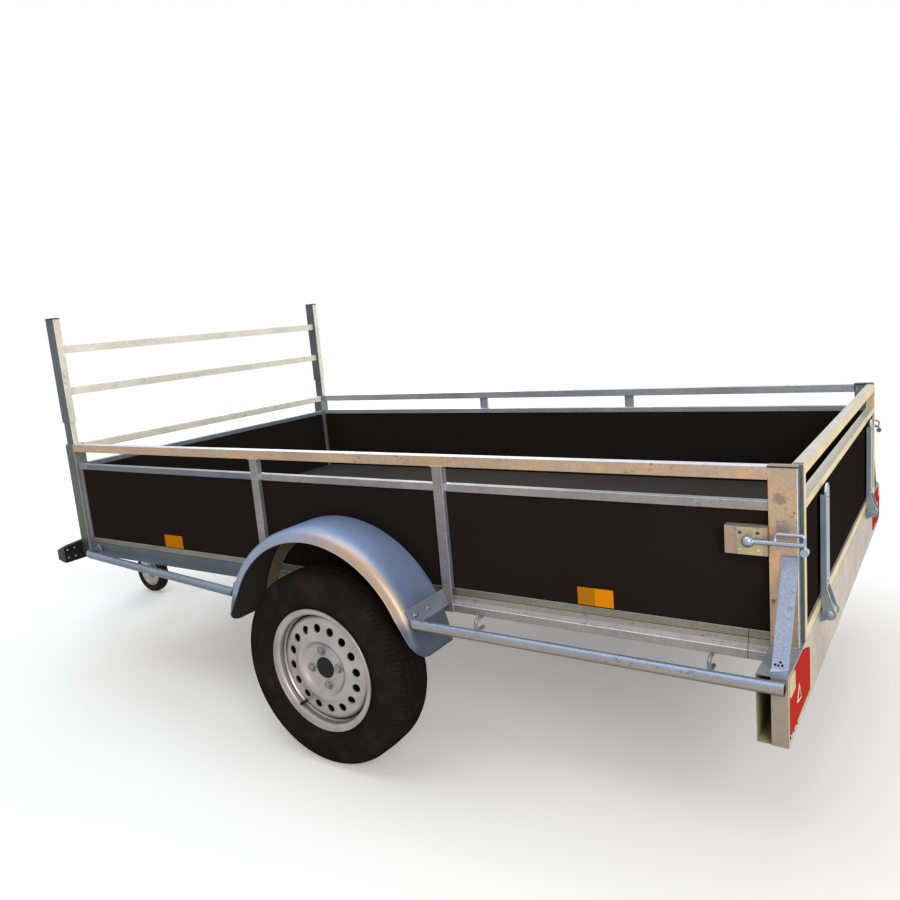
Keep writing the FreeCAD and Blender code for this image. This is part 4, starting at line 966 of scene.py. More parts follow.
@dataclass
class Studio:
    """Camera at the photograph's place, soft boxes, a white surround and a pale floor."""

    camera_place: Point = (-2.1348, 2.4057, 1.2455)
    yaw: float = -56.06
    pitch: float = 9.74
    roll: float = -5.01
    lens: float = 31.70
    sensor: float = 36.0
    floor_half: float = 40.0
    surround: float = 0.45
    floor_tone: str = "ededeb"
    floor_lift: Span = (0.24, 0.66)
    floor_reach: Span = (2.0, 9.0)
    lamps: tuple[Lamp, ...] = (
        Lamp("key_lamp", (-5.6, 4.7, 3.4), (-0.5, 0.3, 0.5), 4.0, 250.0, "fff8ee"),
        Lamp("sky_lamp", (0.0, 0.0, 5.5), (0.0, 0.0, 0.0), 6.0, 150.0, "e9f2ff"),
        Lamp("far_lamp", (3.5, -4.5, 3.0), (0.2, 0.0, 0.5), 4.0, 110.0, "fbf8f4"),
    )

    def set_camera(self) -> None:
        """Sets the camera where the photograph was taken."""
        yaw, pitch, roll = (math.radians(a) for a in (self.yaw, self.pitch, self.roll))
        ahead = Vector((math.cos(yaw) * math.cos(pitch), math.sin(yaw) * math.cos(pitch), -math.sin(pitch)))
        right = Vector((math.sin(yaw), -math.cos(yaw), 0.0))
        up = right.cross(ahead)
        across = math.cos(roll) * right + math.sin(roll) * up
        upward = -math.sin(roll) * right + math.cos(roll) * up
        data = bpy.data.cameras.new("camera")
        data.lens = self.lens
        data.sensor_width = self.sensor
        camera = bpy.data.objects.new("camera", data)
        camera.matrix_world = Matrix.Translation(self.camera_place) @ Matrix(
            (across, upward, -ahead)).transposed().to_4x4()
        bpy.context.scene.collection.objects.link(camera)
        bpy.context.scene.camera = camera

    def set_lamps(self) -> None:
        """Hangs the soft boxes."""
        for lamp in self.lamps:
            data = bpy.data.lights.new(lamp.name, "AREA")
            data.shape = "DISK"
            data.size = lamp.width
            data.energy = lamp.power
            data.color = linear(lamp.colour)[:3]
            box = bpy.data.objects.new(lamp.name, data)
            box.location = lamp.place
            box.rotation_euler = (Vector(lamp.faces) - Vector(lamp.place)).to_track_quat("-Z", "Y").to_euler()
            bpy.context.scene.collection.objects.link(box)

    @staticmethod
    def plain_rays(tree: Tree) -> Socket:
        """Tells the rays that see, straight, in metal or through a lens, from those that light the trailer.

        Args:
            tree: The world's or the floor's node tree.

        Returns:
            An output that is 1 for rays that see.
        """
        rays = add(tree, "LightPath")
        seen = rays.outputs["Is Camera Ray"]
        for kind in ("Is Glossy Ray", "Is Transmission Ray"):
            seen = add(tree, "Math", {0: seen, 1: rays.outputs[kind]}, operation="ADD", use_clamp=True).outputs[0]
        return seen

    def set_surround(self) -> None:
        """Makes the surround white to the eye, in metal and through lenses, and an even fill elsewhere."""
        world = bpy.data.worlds.new("surround")
        bpy.context.scene.world = world
        world.use_nodes = True
        tree = world.node_tree
        tree.nodes.clear()
        strength = add(tree, "MapRange", {VALUE: self.plain_rays(tree), TO_LOW: self.surround})
        glow = add(tree, "Background", {0: WHITE, 1: strength.outputs[0]})
        add(tree, "OutputWorld", {0: glow.outputs[0]})

    def lay_floor(self) -> None:
        """Lays a pale floor that keeps the trailer's shadow and runs out to white."""
        bpy.ops.mesh.primitive_plane_add(size=self.floor_half * 2, location=ORIGIN)
        floor = newest("studio_floor")
        settle(floor)
        material = bpy.data.materials.new("pale_studio_floor")
        material.use_nodes = True
        tree = material.node_tree
        tree.nodes.clear()
        away = add(tree, "VectorMath", {0: add(tree, "TexCoord").outputs["Object"]}, operation="LENGTH")
        pale = add(tree, "MapRange", {VALUE: away.outputs["Value"],
                                      FROM_LOW: self.floor_reach[0], FROM_HIGH: self.floor_reach[1],
                                      TO_LOW: self.floor_lift[0], TO_HIGH: self.floor_lift[1]},
                   interpolation_type="SMOOTHSTEP")
        lift = add(tree, "Math", {0: self.plain_rays(tree), 1: pale.outputs[0]}, operation="MULTIPLY")
        matt = add(tree, "BsdfDiffuse", {0: linear(self.floor_tone)})
        glow = add(tree, "Emission", {0: WHITE, 1: lift.outputs[0]})
        both = add(tree, "AddShader", {0: matt.outputs[0], 1: glow.outputs[0]})
        add(tree, "OutputMaterial", {0: both.outputs[0]})
        floor.data.materials.append(material)

    def build(self) -> None:
        """Sets up all of the studio."""
        bpy.context.scene.view_settings.view_transform = "Standard"
        self.set_camera()
        self.set_lamps()
        self.set_surround()
        self.lay_floor()
        log.info("studio set")


# --- Steel and plywood taken over from the frame ---------------------------------------------------------------------


# Beyond the trailer on every side, in metres
FAR = 9.0
ANYWHERE: Span = (-FAR, FAR)
# A face is part of a rolled corner if its normal has less than this along every axis
ROLLED = 0.97


@dataclass(frozen=True)
class Zone:
    """A box, the same on both sides of the trailer, inside which a node's faces wear another finish."""

    finish: Finish
    x: Span = ANYWHERE
    y: Span = ANYWHERE
    z: Span = ANYWHERE

    def holds(self, face: Face) -> bool:
        """Tells whether a face's middle lies in the zone."""
        here = (face.center.x, abs(face.center.y), face.center.z)
        return all(low <= part <= high for (low, high), part in zip((self.x, self.y, self.z), here))


@dataclass(frozen=True)
class FarSide(Zone):
    """A zone on the right side only."""

    def holds(self, face: Face) -> bool:
        """Tells whether a face lies in the zone, on the right."""
        return face.center.y < 0 and super().holds(face)


@dataclass(frozen=True)
class Rounding(Zone):
    """The rolled corners in a zone, whose faces look between two axes."""

    def holds(self, face: Face) -> bool:
        """Tells whether a face in the zone is part of a rounding."""
        return super().holds(face) and max(abs(part) for part in face.normal) < ROLLED


@dataclass(frozen=True)
class Bore(Zone):
    """The inside of a tube that runs along X through the middle of the zone."""

    def holds(self, face: Face) -> bool:
        """Tells whether a face in the zone looks at the zone's axis.

        Args:
            face: A face of the tube.

        Returns:
            True for a face of the tube's inside.
        """
        if not super().holds(face):
            return False
        side = math.copysign(1.0, face.center.y)
        out = (face.center.y * side - sum(self.y) / 2, face.center.z - sum(self.z) / 2)
        return face.normal.y * side * out[0] + face.normal.z * out[1] < 0


@dataclass(frozen=True)
class Flatten:
    """Square posts drawn as the flat tubes that the photograph shows: deeper along X, thinner towards the middle."""

    inner: float
    outer: float
    thinner: float
    half: float = 0.0
    middle: float = 0.745
    deeper: float = 1.25

    def shape(self, piece: Piece) -> None:
        """Scales the posts' corners about their outer faces, in edit mode.

        Args:
            piece: The object that is open in edit mode.
        """
        for side in (1.0, -1.0):
            for beyond, value, about in (
                    (0.0, (1.0, self.thinner, 1.0), (0.0, side * self.outer, 0.0)),
                    (self.half, (self.deeper, 1.0, 1.0), (self.middle, 0.0, 0.0))):
                mark(piece, Part.CORNERS, lambda corner: corner.co.y * side > self.inner - MM
                     and abs(corner.co.x - self.middle) > beyond)
                bpy.ops.transform.resize(value=value, center_override=about)


@dataclass(frozen=True)
class Member:
    """A node: its finish, its edges' radius in millimetres, the planes that part its faces and its zones.

    Edges shorter than the given length stay sharp, and posts that the photograph shows flat are flattened.
    """

    node: str
    finish: Finish
    radius: float = 2.6
    cuts: tuple[tuple[int, float], ...] = ()
    zones: tuple[Zone, ...] = ()
    shortest: float = 45 * MM
    flatten: Flatten | None = None


# Where the left side's pieces start and end, which parts their finishes
HAIR = 0.1 * MM
UPRIGHTS = ((-0.971, -0.929), (-0.273, -0.231))
STILE = 0.664
RAIL_LOW = 0.851
MID_RAIL = (0.783, 0.803)
MID_RAIL_EDGE = (0.799, 0.8035)
SKY_FROM = -0.25
OUTER_EDGE = 0.715
HEAD_RAIL_TOP = 0.81
POST_BACK = -1.8395
POST_BACK_EDGE = -1.836
GATE_END = 0.6913
SILL_OUTSIDE = 0.7
SILL_FRONT = -0.3
SEAM = (-1.7350, -1.7334)
SEAM_TOP = 0.5025
SILL_FACE_TOP = 0.4675
SILL_FOLD = (0.4663, 0.4690, 0.4800)
SILL_CREASE = (0.4925, 0.4940)
SILL_LIP_LOW = 0.4935
TUBE_AHEAD = -0.6
LATCH_PLATE_END = -1.7715
REVERSE_LENS = (0.812, 0.445)
REFLECTOR_PARTING = -1.378
LAMP_GLASS = 0.795
MID_ZONE = (MID_RAIL[0] - HAIR, MID_RAIL[1] + HAIR)
BELOW_RAIL = (-FAR, RAIL_LOW)
FROM_STILE = (STILE, FAR)
SIDE_CUTS = ((Z, RAIL_LOW), (Z, MID_RAIL[0]), (Z, MID_RAIL[1]), *[(X, end) for ends in UPRIGHTS for end in ends],
             (X, STILE))
# Painted blue shade on the mid rail's front part and painted highlights on the rounded edges
SIDE_ZONES = (
    Zone(MID_ZINC, x=(-FAR, STILE), z=MID_ZONE),
    Zone(FRONT_RAIL_SHADE, x=(SKY_FROM, STILE), z=MID_ZONE),
    *[Zone(POST_ZINC, x=ends, z=BELOW_RAIL) for ends in (*UPRIGHTS, FROM_STILE)],
    Rounding(CORNER_HIGHLIGHT, x=(-FAR, STILE), y=(0.709, FAR), z=MID_RAIL_EDGE),
    *[Rounding(CORNER_HIGHLIGHT, x=ends, y=(OUTER_EDGE, FAR), z=BELOW_RAIL) for ends in (*UPRIGHTS, FROM_STILE)],
)
MEMBERS = (
    Member("side_frame_left", RAIL_ZINC, 2.6, SIDE_CUTS, SIDE_ZONES),
    Member("side_frame_right", FAR_ZINC),
    Member("front_frame", CREAM_ZINC, 2.4, zones=(Zone(HEAD_RAIL_ZINC, z=(-FAR, HEAD_RAIL_TOP)),)),
    Member("front_posts", FRONT_ZINC, 3.0),
    # Painted shade on the rear posts' back ends and a painted highlight on their outer rounded edge
    Member("rear_posts", REAR_POST_ZINC, 2.0, zones=(
        FarSide(FAR_ZINC), Zone(SHADE_ZINC, x=(-FAR, POST_BACK)),
        Rounding(CORNER_HIGHLIGHT, x=(-FAR, POST_BACK_EDGE), y=(0.716, FAR)))),
    Member("ladder_stubs", DARK_ZINC, 2.4, flatten=Flatten(inner=0.6775, outer=0.7125, thinner=0.6)),
    Member("ladder_rack", DARK_ZINC, 2.6, zones=(Zone(CREAM_ZINC, y=(-FAR, 0.685)),),
           flatten=Flatten(inner=0.675, outer=0.715, thinner=0.65, half=15 * MM)),
    # Painted shade on the gate's ends, in the gap beside the posts
    Member("tailgate_frame", GATE_ZINC, 2.4, zones=(Zone(SHADE_ZINC, y=(GATE_END, FAR)),)),
    # Painted light on the sills: a sheen on the ledge, a highlight on the fold, shade ahead of the fender, a shadow
    # line in the crease, and grime and shade in the seam
    Member("sills", CHASSIS_ZINC, 1.2, (
        (X, SEAM[0]), (X, SEAM[1]), (X, SILL_FRONT), (Z, SILL_FOLD[0]), (Z, SILL_FOLD[2]), (Z, SILL_CREASE[0]),
        (Z, SILL_CREASE[1])), (
        Zone(SILL_LIP, z=(SILL_LIP_LOW, FAR)), Zone(SILL_FACE, z=(-FAR, SILL_FACE_TOP)),
        Zone(SILL_SHEEN, y=(SILL_OUTSIDE, FAR), z=(SILL_FOLD[1], SILL_FOLD[2])),
        Zone(FOLD_HIGHLIGHT, x=(-FAR, SILL_FRONT), y=(SILL_OUTSIDE, FAR), z=(SILL_FOLD[0], SILL_FOLD[1])),
        Zone(SILL_SHADE, x=(SILL_FRONT, FAR), y=(SILL_OUTSIDE, FAR), z=(-FAR, SILL_CREASE[0])),
        Zone(GRIME_AND_SHADE, y=(SILL_OUTSIDE, FAR), z=SILL_CREASE),
        Zone(GRIME_AND_SHADE, x=SEAM, y=(SILL_OUTSIDE, FAR), z=(-FAR, SEAM_TOP)))),
    Member("cross_members", CHASSIS_ZINC),
    Member("drawbar", CHASSIS_ZINC, 4.0),
    Member("drawbar_stays", CHASSIS_ZINC, 3.0),
    # The board's inside wears painted light
    Member("light_board", BOARD_ZINC, 1.6, zones=(
        Zone(BOARD_INSIDE, x=(-1.8436, -1.7834), y=(-FAR, 0.8655), z=(0.3404, 0.4856)),)),
    Member("board_braces", BAR_ZINC, 1.2),
    Member("axle_beam", CHASSIS_ZINC, 5.0),
    # The axle arms wear painted shade and grime, so the vents show them dark
    Member("axle_arms", GRIME_AND_SHADE, 2.0),
    Member("fender_brackets", STRIP_ZINC, 0.8),
    # Painted shade inside the tubes' bores and painted blue shade on the tubes ahead
    Member("side_tubes", TUBE_ZINC, 0.0, zones=(
        Bore(GRIME_AND_SHADE, x=(-1.845, -0.9), y=(0.86, 0.9), z=(0.451, 0.491)), Zone(FRONT_TUBE_SHADE, x=(TUBE_AHEAD, FAR)))),
    Member("latches", BRIGHT_ZINC, 0.8, ((X, LATCH_PLATE_END),), (
        Zone(BLOCK_ZINC, x=(-1.7825, -1.69), y=(0.704, 0.7325), z=(0.68, 0.76)),
        Zone(PLATE_ZINC, x=(LATCH_PLATE_END, -1.72), y=(0.7296, 0.7325), z=(0.68, 0.76)))),
    # Painted highlights on the straps' rounded edges and on the hinge pin heads
    Member("hinge_straps", STRAP_ZINC, 2.0, zones=(
        Rounding(CORNER_HIGHLIGHT), Zone(CORNER_HIGHLIGHT, x=(-1.8745, -1.8555), y=(0.4885, FAR), z=(0.471, 0.491)))),
    Member("hinge_lugs", STRAP_ZINC, 0.8),
    Member("rope_hooks", HOOK_ZINC, 0.0),
    Member("coupling_head", CAST_STEEL, 4.0, shortest=20 * MM),
    Member("coupling_handle", BLACK_PLASTIC, 4.0, shortest=12 * MM),
    Member("jockey_clamp", CAST_STEEL, 2.0, shortest=20 * MM),
    Member("jockey_outer", BRIGHT_ZINC, 0.0),
    Member("jockey_crank", BRIGHT_ZINC, 1.5, shortest=30 * MM),
    Member("jockey_inner", BRIGHT_ZINC, 0.0),
    Member("jockey_fork", BRIGHT_ZINC, 1.0),
    Member("ladder_caps", BLACK_PLASTIC, 1.0, shortest=20 * MM,
           flatten=Flatten(inner=0.675, outer=0.715, thinner=0.65)),
    Member("tail_lamps", RED_LENS, 0.9, ((Y, REVERSE_LENS[0]), (Y, -REVERSE_LENS[0]), (Z, REVERSE_LENS[1])),
           (Zone(CREAM_LENS, y=(REVERSE_LENS[0], FAR), z=(REVERSE_LENS[1], FAR)),), 15 * MM),
    Member("side_reflectors", AMBER_LENS, 0.9, ((X, REFLECTOR_PARTING),), (
        Zone(AMBER_DEEP, x=(REFLECTOR_PARTING, -1.3)), Zone(AMBER_FRONT, x=(0.0, FAR))), 15 * MM),
    Member("front_lamps", BLACK_PLASTIC, 2.6, ((Y, LAMP_GLASS), (Y, -LAMP_GLASS)),
           (Zone(CLEAR_LENS, y=(LAMP_GLASS, FAR)),), 12 * MM),
)


@dataclass
class TakenOver:
    """Nodes whose shape stays, with the small radius that rolling, folding and moulding leave on their edges."""

    members: tuple[Member, ...] = MEMBERS
    sheets: tuple[tuple[str, Finish], ...] = (
        # The floor's paler grey brown is a painted reflection
        ("floor_panel", FLOOR_PLY),
        ("side_panel_left", PLYWOOD),
        ("side_panel_right", PLYWOOD),
        ("front_panel", PLYWOOD),
        ("tailgate_panel", PLYWOOD),
    )
    merged: float = math.radians(1)

    @staticmethod
    def rolls(edge: bmesh.types.BMEdge, shortest: float) -> bool:
        """Tells whether an edge is long and sharp enough to be rolled.

        Args:
            edge: An edge of a member.
            shortest: The length below which it stays as it is.

        Returns:
            True for a long outer edge.
        """
        if len(edge.link_faces) != 2 or edge.calc_length() < shortest:
            return False
        return edge.is_convex and edge.calc_face_angle(0.0) > SHARP

    def round_off(self, member: Member) -> Piece:
        """Copies a node, merges its triangles to whole faces, rolls its long edges and gives it its finishes.

        Args:
            member: What is taken over and how it is finished.

        Returns:
            The rounded piece.
        """
        piece = copied(frame["nodes"][member.node], f"{member.node}_rolled", Matrix.Identity(4))
        with editing(piece):
            merge_all(0.01 * MM)
            bpy.ops.mesh.dissolve_limited(angle_limit=self.merged)
            if member.flatten:
                member.flatten.shape(piece)
            count = mark(piece, Part.EDGES, lambda edge: self.rolls(edge, member.shortest))
            if count and member.radius:
                bpy.ops.mesh.bevel(offset=member.radius * MM, offset_type="OFFSET", segments=3, affect="EDGES",
                                   clamp_overlap=True, harden_normals=False)
            for axis, place in member.cuts:
                bpy.ops.mesh.select_all(action="SELECT")
                along = Vector([float(axis == index) for index in (X, Y, Z)])
                bpy.ops.mesh.bisect(plane_co=along * place, plane_no=along)
        smooth(piece, degrees=40)
        modify(piece, "WEIGHTED_NORMAL", keep_sharp=True, weight=60)
        member.finish.dress(piece)
        for zone in member.zones:
            zone.finish.touch_up(piece, zone.holds)
        return piece

    def build(self) -> None:
        """Takes every node over."""
        bodies = {node: body for body, nodes in frame["record"]["behaviour"]["bodies"].items() for node in nodes}
        slots = {part["node"]: part["material_slot"] for part in frame["record"]["subparts"]}
        for member in self.members:
            piece = self.round_off(member)
            show(piece, bodies[member.node], member.finish, slots[member.node], member.node)
        for node, finish in self.sheets:
            finish.dress(frame["nodes"][node])
            log.info("%s wears %s", node, finish.label)


# --- Wheels ----------------------------------------------------------------------------------------------------------


@dataclass
class RoadWheel:
    """Trailer wheel: road tyre, pressed steel rim with a crested disc, four bolts and a plain cap."""

    side: Side
    x: float = -0.612
    z: float = 0.287
    middle: float = 0.829
    steps: int = 120
    rim_steps: int = 96
    vents: int = 16
    vent_circle: float = 119.8 * MM
    vent_radius: float = 12.5 * MM
    vent_reach: float = 14.0
    punch_middle: float = 46.0
    punch_long: float = 40 * MM
    bolt_circle: float = 50.7 * MM
    bolt_turn: float = 82.5
    vent_turn: float = 18.25
    valve_turn: float = 307.0
    slant: float = 1.6
    sipe_deep: float = 3.2 * MM
    sipe_wide: float = 0.9 * MM
    sipe_share: float = 0.03
    rib_low: float = 284.5
    barrel_wall: float = 3.0 * MM
    disc_wall: float = 4.0 * MM
    sheet_edge: float = 0.9 * MM
    dust_out: float = 36.0
    dust_rim: float = 163.0
    dust_disc: float = 150.0
    hub_steps: int = 64
    bolts: int = 4
    bolt_steps: int = 28
    bolt_radius: float = 11.4 * MM
    bolt_tall: float = 9 * MM
    bolt_middle: float = 46.5
    bolt_crown: Section = ((1.6, 1.4), (3.4, -1.6))
    bolt_seat: Section = ((15.4, 41.6), (15.0, 43.4), (13.2, 44.8), (9.0, 45.2))
    bead: Section = ((182.6, 57.6), (165.5, 57.0), (165.5, -57.0), (182.6, -57.6))
    sidewall: Section = (
        (182.6, 57.6), (185.2, 62.6), (190.5, 67.6), (197.0, 71.8), (201.0, 74.4), (203.0, 74.8), (208.0, 76.9),
        (216.0, 78.5), (227.0, 79.0), (239.0, 78.6), (250.0, 77.3), (257.0, 75.8), (258.6, 74.9), (264.0, 73.0))
    shoulder: Section = (
        (264.0, 73.0), (269.5, 70.4), (274.8, 66.8), (279.2, 62.2), (282.6, 56.6), (284.8, 50.4), (285.6, 44.5))
    ribs: Section = (
        (278.5, 43.0), (278.5, 36.8), (286.0, 35.3), (286.6, 17.0), (279.0, 15.7), (279.0, 9.3), (287.0, 8.0),
        (287.0, -8.0), (279.0, -9.3), (279.0, -15.7), (286.6, -17.0), (286.0, -35.3), (278.5, -36.8),
        (278.5, -43.0))
    barrel: Section = (
        (179.0, 65.2), (180.2, 65.6), (181.0, 64.4), (180.6, 62.6), (178.6, 61.2), (174.5, 60.3), (168.5, 59.8),
        (165.4, 58.4), (163.8, 55.6), (163.2, 50.0), (163.0, 45.5), (164.4, 42.6), (163.6, 39.8), (160.0, 35.4),
        (156.0, 30.6), (154.4, 27.4), (154.0, 22.0), (154.0, 0.0))
    disc: Section = (
        (31.6, 41.0), (50.0, 41.0), (64.0, 41.1), (69.5, 42.2), (74.5, 45.2), (79.5, 49.8), (83.5, 53.0),
        (88.0, 54.4), (92.5, 53.8), (98.0, 51.8), (106.0, 49.2), (119.8, 46.6), (134.0, 45.0), (143.0, 43.8),
        (148.4, 41.6), (151.3, 37.6), (152.2, 32.0), (152.3, 17.0))
    hub_shell: Section = (
        (17.6, -60.6), (36.0, -61.0), (38.0, -59.0), (38.0, 25.0), (41.0, 27.4), (60.6, 27.6), (62.0, 29.0),
        (62.0, 37.6), (60.6, 38.9), (0.0, 38.9))
    hub_bore: Section = ((17.6, -60.6), (17.6, 20.0), (0.0, 20.0))
    cap_dome: Section = (
        (30.9, 39.2), (31.0, 43.6), (30.2, 45.2), (28.6, 45.5), (27.6, 44.9), (26.8, 44.5), (20.0, 44.9),
        (10.0, 45.3), (0.0, 45.4))
    valve_at: Span = (148.0, 40.0)
    valve_stem: Section = (
        (5.6, 0.0), (5.8, 6.0), (4.0, 9.0), (3.9, 20.0), (4.4, 20.6), (4.4, 29.0), (3.6, 30.4), (0.0, 30.6))
    back_plate: Section = (
        (30.0, -67.0), (60.0, -67.0), (66.0, -63.0), (130.0, -62.0), (144.0, -60.0), (149.0, -54.0), (150.5, -50.0),
        (152.0, -50.0), (151.0, -56.0), (145.0, -63.0), (130.0, -65.5), (66.0, -66.5), (60.0, -70.0),
        (30.0, -70.0), (30.0, -67.0))

    def at(self, radius: float, out: float, turn: float = 0.0) -> Point:
        """Gives the place of a point of the left wheel's section.

        Args:
            radius: Its distance from the axle in millimetres.
            out: Its distance outward from the wheel's middle in millimetres.
            turn: Its angle about the axle in degrees.

        Returns:
            The point in the frame.
        """
        angle = math.radians(turn)
        reach = radius * MM
        return (self.x + reach * math.cos(angle), self.middle + out * MM, self.z + reach * math.sin(angle))

    def hub_line(self, place: Point, line: Sequence[tuple[float, float]]) -> list[Point]:
        """Draws a small section beside a line that is parallel to the axle.

        Args:
            place: Where that line starts.
            line: Radius about it and reach outward from its start in millimetres.

        Returns:
            The points in the frame.
        """
        return [(place[X] + radius * MM, place[Y] + out * MM, place[Z]) for radius, out in line]

    def spun(self, name: str, section: Sequence[tuple[float, float]], steps: int,
             slants: bool = False) -> Piece:
        """Turns a section about the axle.

        Args:
            name: The new piece's name.
            section: Radius and reach outward of each point in millimetres.
            steps: How many steps the turn has.
            slants: Whether the section leans round the axle towards the middle of the tread.

        Returns:
            The turned sheet.
        """
        points = [self.at(radius, out, self.lean(radius, out) if slants else 0.0) for radius, out in section]
        return turned(name, points, (self.x, self.middle, self.z), OUTWARD, steps)

    def lean(self, radius: float, out: float) -> float:
        """Says how far the tread's cross cuts lean round the axle, one and a half waves from shoulder to middle.

        Args:
            radius: A point's distance from the axle in millimetres.
            out: Its distance outward from the wheel's middle in millimetres.

        Returns:
            The lean in degrees.
        """
        start, half = self.shoulder[0]
        return 0.0 if radius < start else self.slant * math.sin(out / half * math.pi * 1.5)

    def polar(self, place: Vector) -> tuple[float, float, float]:
        """Gives a point's radius and reach outward in millimetres and its angle in degrees."""
        across, up = place.x - self.x, place.z - self.z
        return (math.hypot(across, up) / MM, (place.y - self.middle) / MM, math.degrees(math.atan2(up, across)))

    def column(self, place: Vector) -> float:
        """Counts which cut of the tread a point lies at, in steps round the axle."""
        radius, out, turn = self.polar(place)
        return (turn - self.lean(radius, out)) * self.steps / 360

    def on_tread(self, place: Vector) -> bool:
        """Tells the tread's ribs and shoulders from its grooves and the sidewalls.

        Args:
            place: A point of the tyre.

        Returns:
            True on a rib or a shoulder.
        """
        radius, out, _ = self.polar(place)
        edge = self.shoulder[-1][1]
        return radius > (self.shoulder[1][0] if abs(out) > edge else self.rib_low)

    def tyre(self) -> Piece:
        """Builds the tyre: smooth sidewalls, grooved tread, cross cuts in ribs and shoulders.

        Returns:
            The left tyre.
        """
        half = [*eased(self.sidewall, parts=2)[:-1], *self.shoulder]
        other = [(radius, -out) for radius, out in reversed(half)]
        section = [*half, *self.ribs, *other]
        piece = self.spun(f"road_tyre_{self.side.word}", section, self.steps, slants=True)
        with editing(piece):
            for odd in (0, 1):
                mark(piece, Part.FACES, lambda face: self.on_tread(face.calc_center_median())
                     and math.floor(self.column(face.calc_center_median())) % 2 == odd)
                bpy.ops.mesh.inset(thickness=self.sipe_wide, use_boundary=True, use_even_offset=True)
            mark(piece, Part.CORNERS, lambda corner: self.on_tread(corner.co)
                 and abs(self.column(corner.co) - round(self.column(corner.co))) < self.sipe_share)
            shrink = 1 - self.sipe_deep / self.z
            bpy.ops.transform.resize(value=(shrink, 1.0, shrink), center_override=(self.x, self.middle, self.z))
        inner = profile_line("bead", [self.at(*point) for point in self.bead])
        with editing(inner):
            bpy.ops.mesh.select_all(action="SELECT")
            bpy.ops.mesh.spin(steps=self.steps, angle=math.tau, center=(self.x, self.middle, self.z), axis=OUTWARD)
        piece = joined(piece.name, [piece, inner])
        with editing(piece):
            merge_all(0.03 * MM)
            face_out()
        smooth(piece, degrees=32)
        return piece

    def rim(self) -> Piece:
        """Builds the barrel and the vented disc with their sheet thickness.

        Returns:
            The left rim.
        """
        outer = eased(self.barrel, parts=3)
        section = [*outer, *[(radius, -out) for radius, out in reversed(outer[:-1])]]
        barrel = self.spun("barrel", section, self.rim_steps)
        modify(barrel, "SOLIDIFY", thickness=self.barrel_wall, offset=0.0)
        disc = self.spun("disc", eased(self.disc, parts=3), self.rim_steps)
        modify(disc, "SOLIDIFY", thickness=self.disc_wall, offset=0.0)
        cutters = []
        for index in range(self.vents):
            turn = self.vent_turn + 360 * index / self.vents
            bpy.ops.mesh.primitive_cylinder_add(vertices=28, radius=self.vent_radius, depth=self.punch_long,
                                                location=self.at(self.vent_circle / MM, self.punch_middle, turn),
                                                rotation=(math.pi / 2, 0.0, 0.0))
            cutters.append(newest(f"punch_{index}"))
        punch = joined("punch", cutters)
        modify(disc, "BOOLEAN", operation="DIFFERENCE", solver="EXACT", object=punch)
        bpy.data.objects.remove(punch)
        with editing(disc):
            mark(disc, Part.EDGES, lambda edge: len(edge.link_faces) == 2
                 and edge.calc_face_angle(0.0) > SHARP
                 and abs(self.polar(edge.verts[0].co)[0] - self.vent_circle / MM) < self.vent_reach)
            bpy.ops.mesh.bevel(offset=self.sheet_edge, segments=2, affect="EDGES", clamp_overlap=True)
        rim = joined(f"pressed_rim_{self.side.word}", [barrel, disc])
        smooth(rim, degrees=32)
        SILVER_PAINT.dress(rim)
        # Painted shade and grime inside the barrel and on the disc's back
        GRIME_AND_SHADE.touch_up(rim, self.in_dust)
        return rim

    def in_dust(self, face: Face) -> bool:
        """Tells the barrel's inside and the back of the disc, which wear painted shade and grime.

        Args:
            face: A face of the rim.

        Returns:
            True for a face inside the barrel or on the disc's back.
        """
        radius, out, _ = self.polar(face.center)
        return (out < self.dust_out and radius < self.dust_rim) or (
            face.normal.y < -LEANING and radius < self.dust_disc)

    def bolt(self) -> Piece:
        """Models one wheel bolt: cone seat, flange and chamfered hexagon, standing on the disc's floor.

        Returns:
            The bolt at its place on the left.
        """
        centre = self.at(self.bolt_circle / MM, self.bolt_middle, self.bolt_turn)
        bpy.ops.mesh.primitive_cylinder_add(vertices=6, radius=self.bolt_radius, depth=self.bolt_tall,
                                            location=centre, rotation=(math.pi / 2, 0.0, 0.0))
        head = newest("bolt_head")
        settle(head)
        with editing(head):
            mark(head, Part.FACES, lambda face: looks(face, OUTWARD))
            for inset, rise in self.bolt_crown:
                bpy.ops.mesh.inset(thickness=inset * MM)
                bpy.ops.transform.translate(value=(0.0, rise * MM, 0.0))
            mark(head, Part.EDGES, lambda edge: runs(edge, Y) > self.bolt_tall / 2)
            bpy.ops.mesh.bevel(offset=self.sheet_edge, segments=2, affect="EDGES")
        foot = (centre[X], self.middle, centre[Z])
        seat = turned("bolt_seat", self.hub_line(foot, self.bolt_seat), foot, OUTWARD, self.bolt_steps)
        return joined("wheel_bolt", [head, seat])

    def hub(self) -> Piece:
        """Builds the hub with its flange and the bolts.

        Returns:
            The left hub.
        """
        body = self.spun("hub_body", self.hub_shell, self.hub_steps)
        bore = self.spun("hub_bore", self.hub_bore, self.hub_steps)
        with editing(bore):
            bpy.ops.mesh.select_all(action="SELECT")
            bpy.ops.mesh.flip_normals()
        bolts = []
        first = self.bolt()
        for index in range(self.bolts):
            spin = (Matrix.Translation((self.x, 0.0, self.z)) @ Matrix.Rotation(math.tau * index / self.bolts, 4, "Y")
                    @ Matrix.Translation((-self.x, 0.0, -self.z)))
            bolts.append(copied(first, f"wheel_bolt_{index}", spin))
        bpy.data.objects.remove(first)
        # The hub and its bore wear painted shade and grime
        GRIME_AND_SHADE.dress(body)
        GRIME_AND_SHADE.dress(bore)
        for bolt in bolts:
            BOLT_ZINC.dress(bolt)
        hub = joined(f"hub_and_bolts_{self.side.word}", [body, bore, *bolts])
        smooth(hub, degrees=35)
        return hub

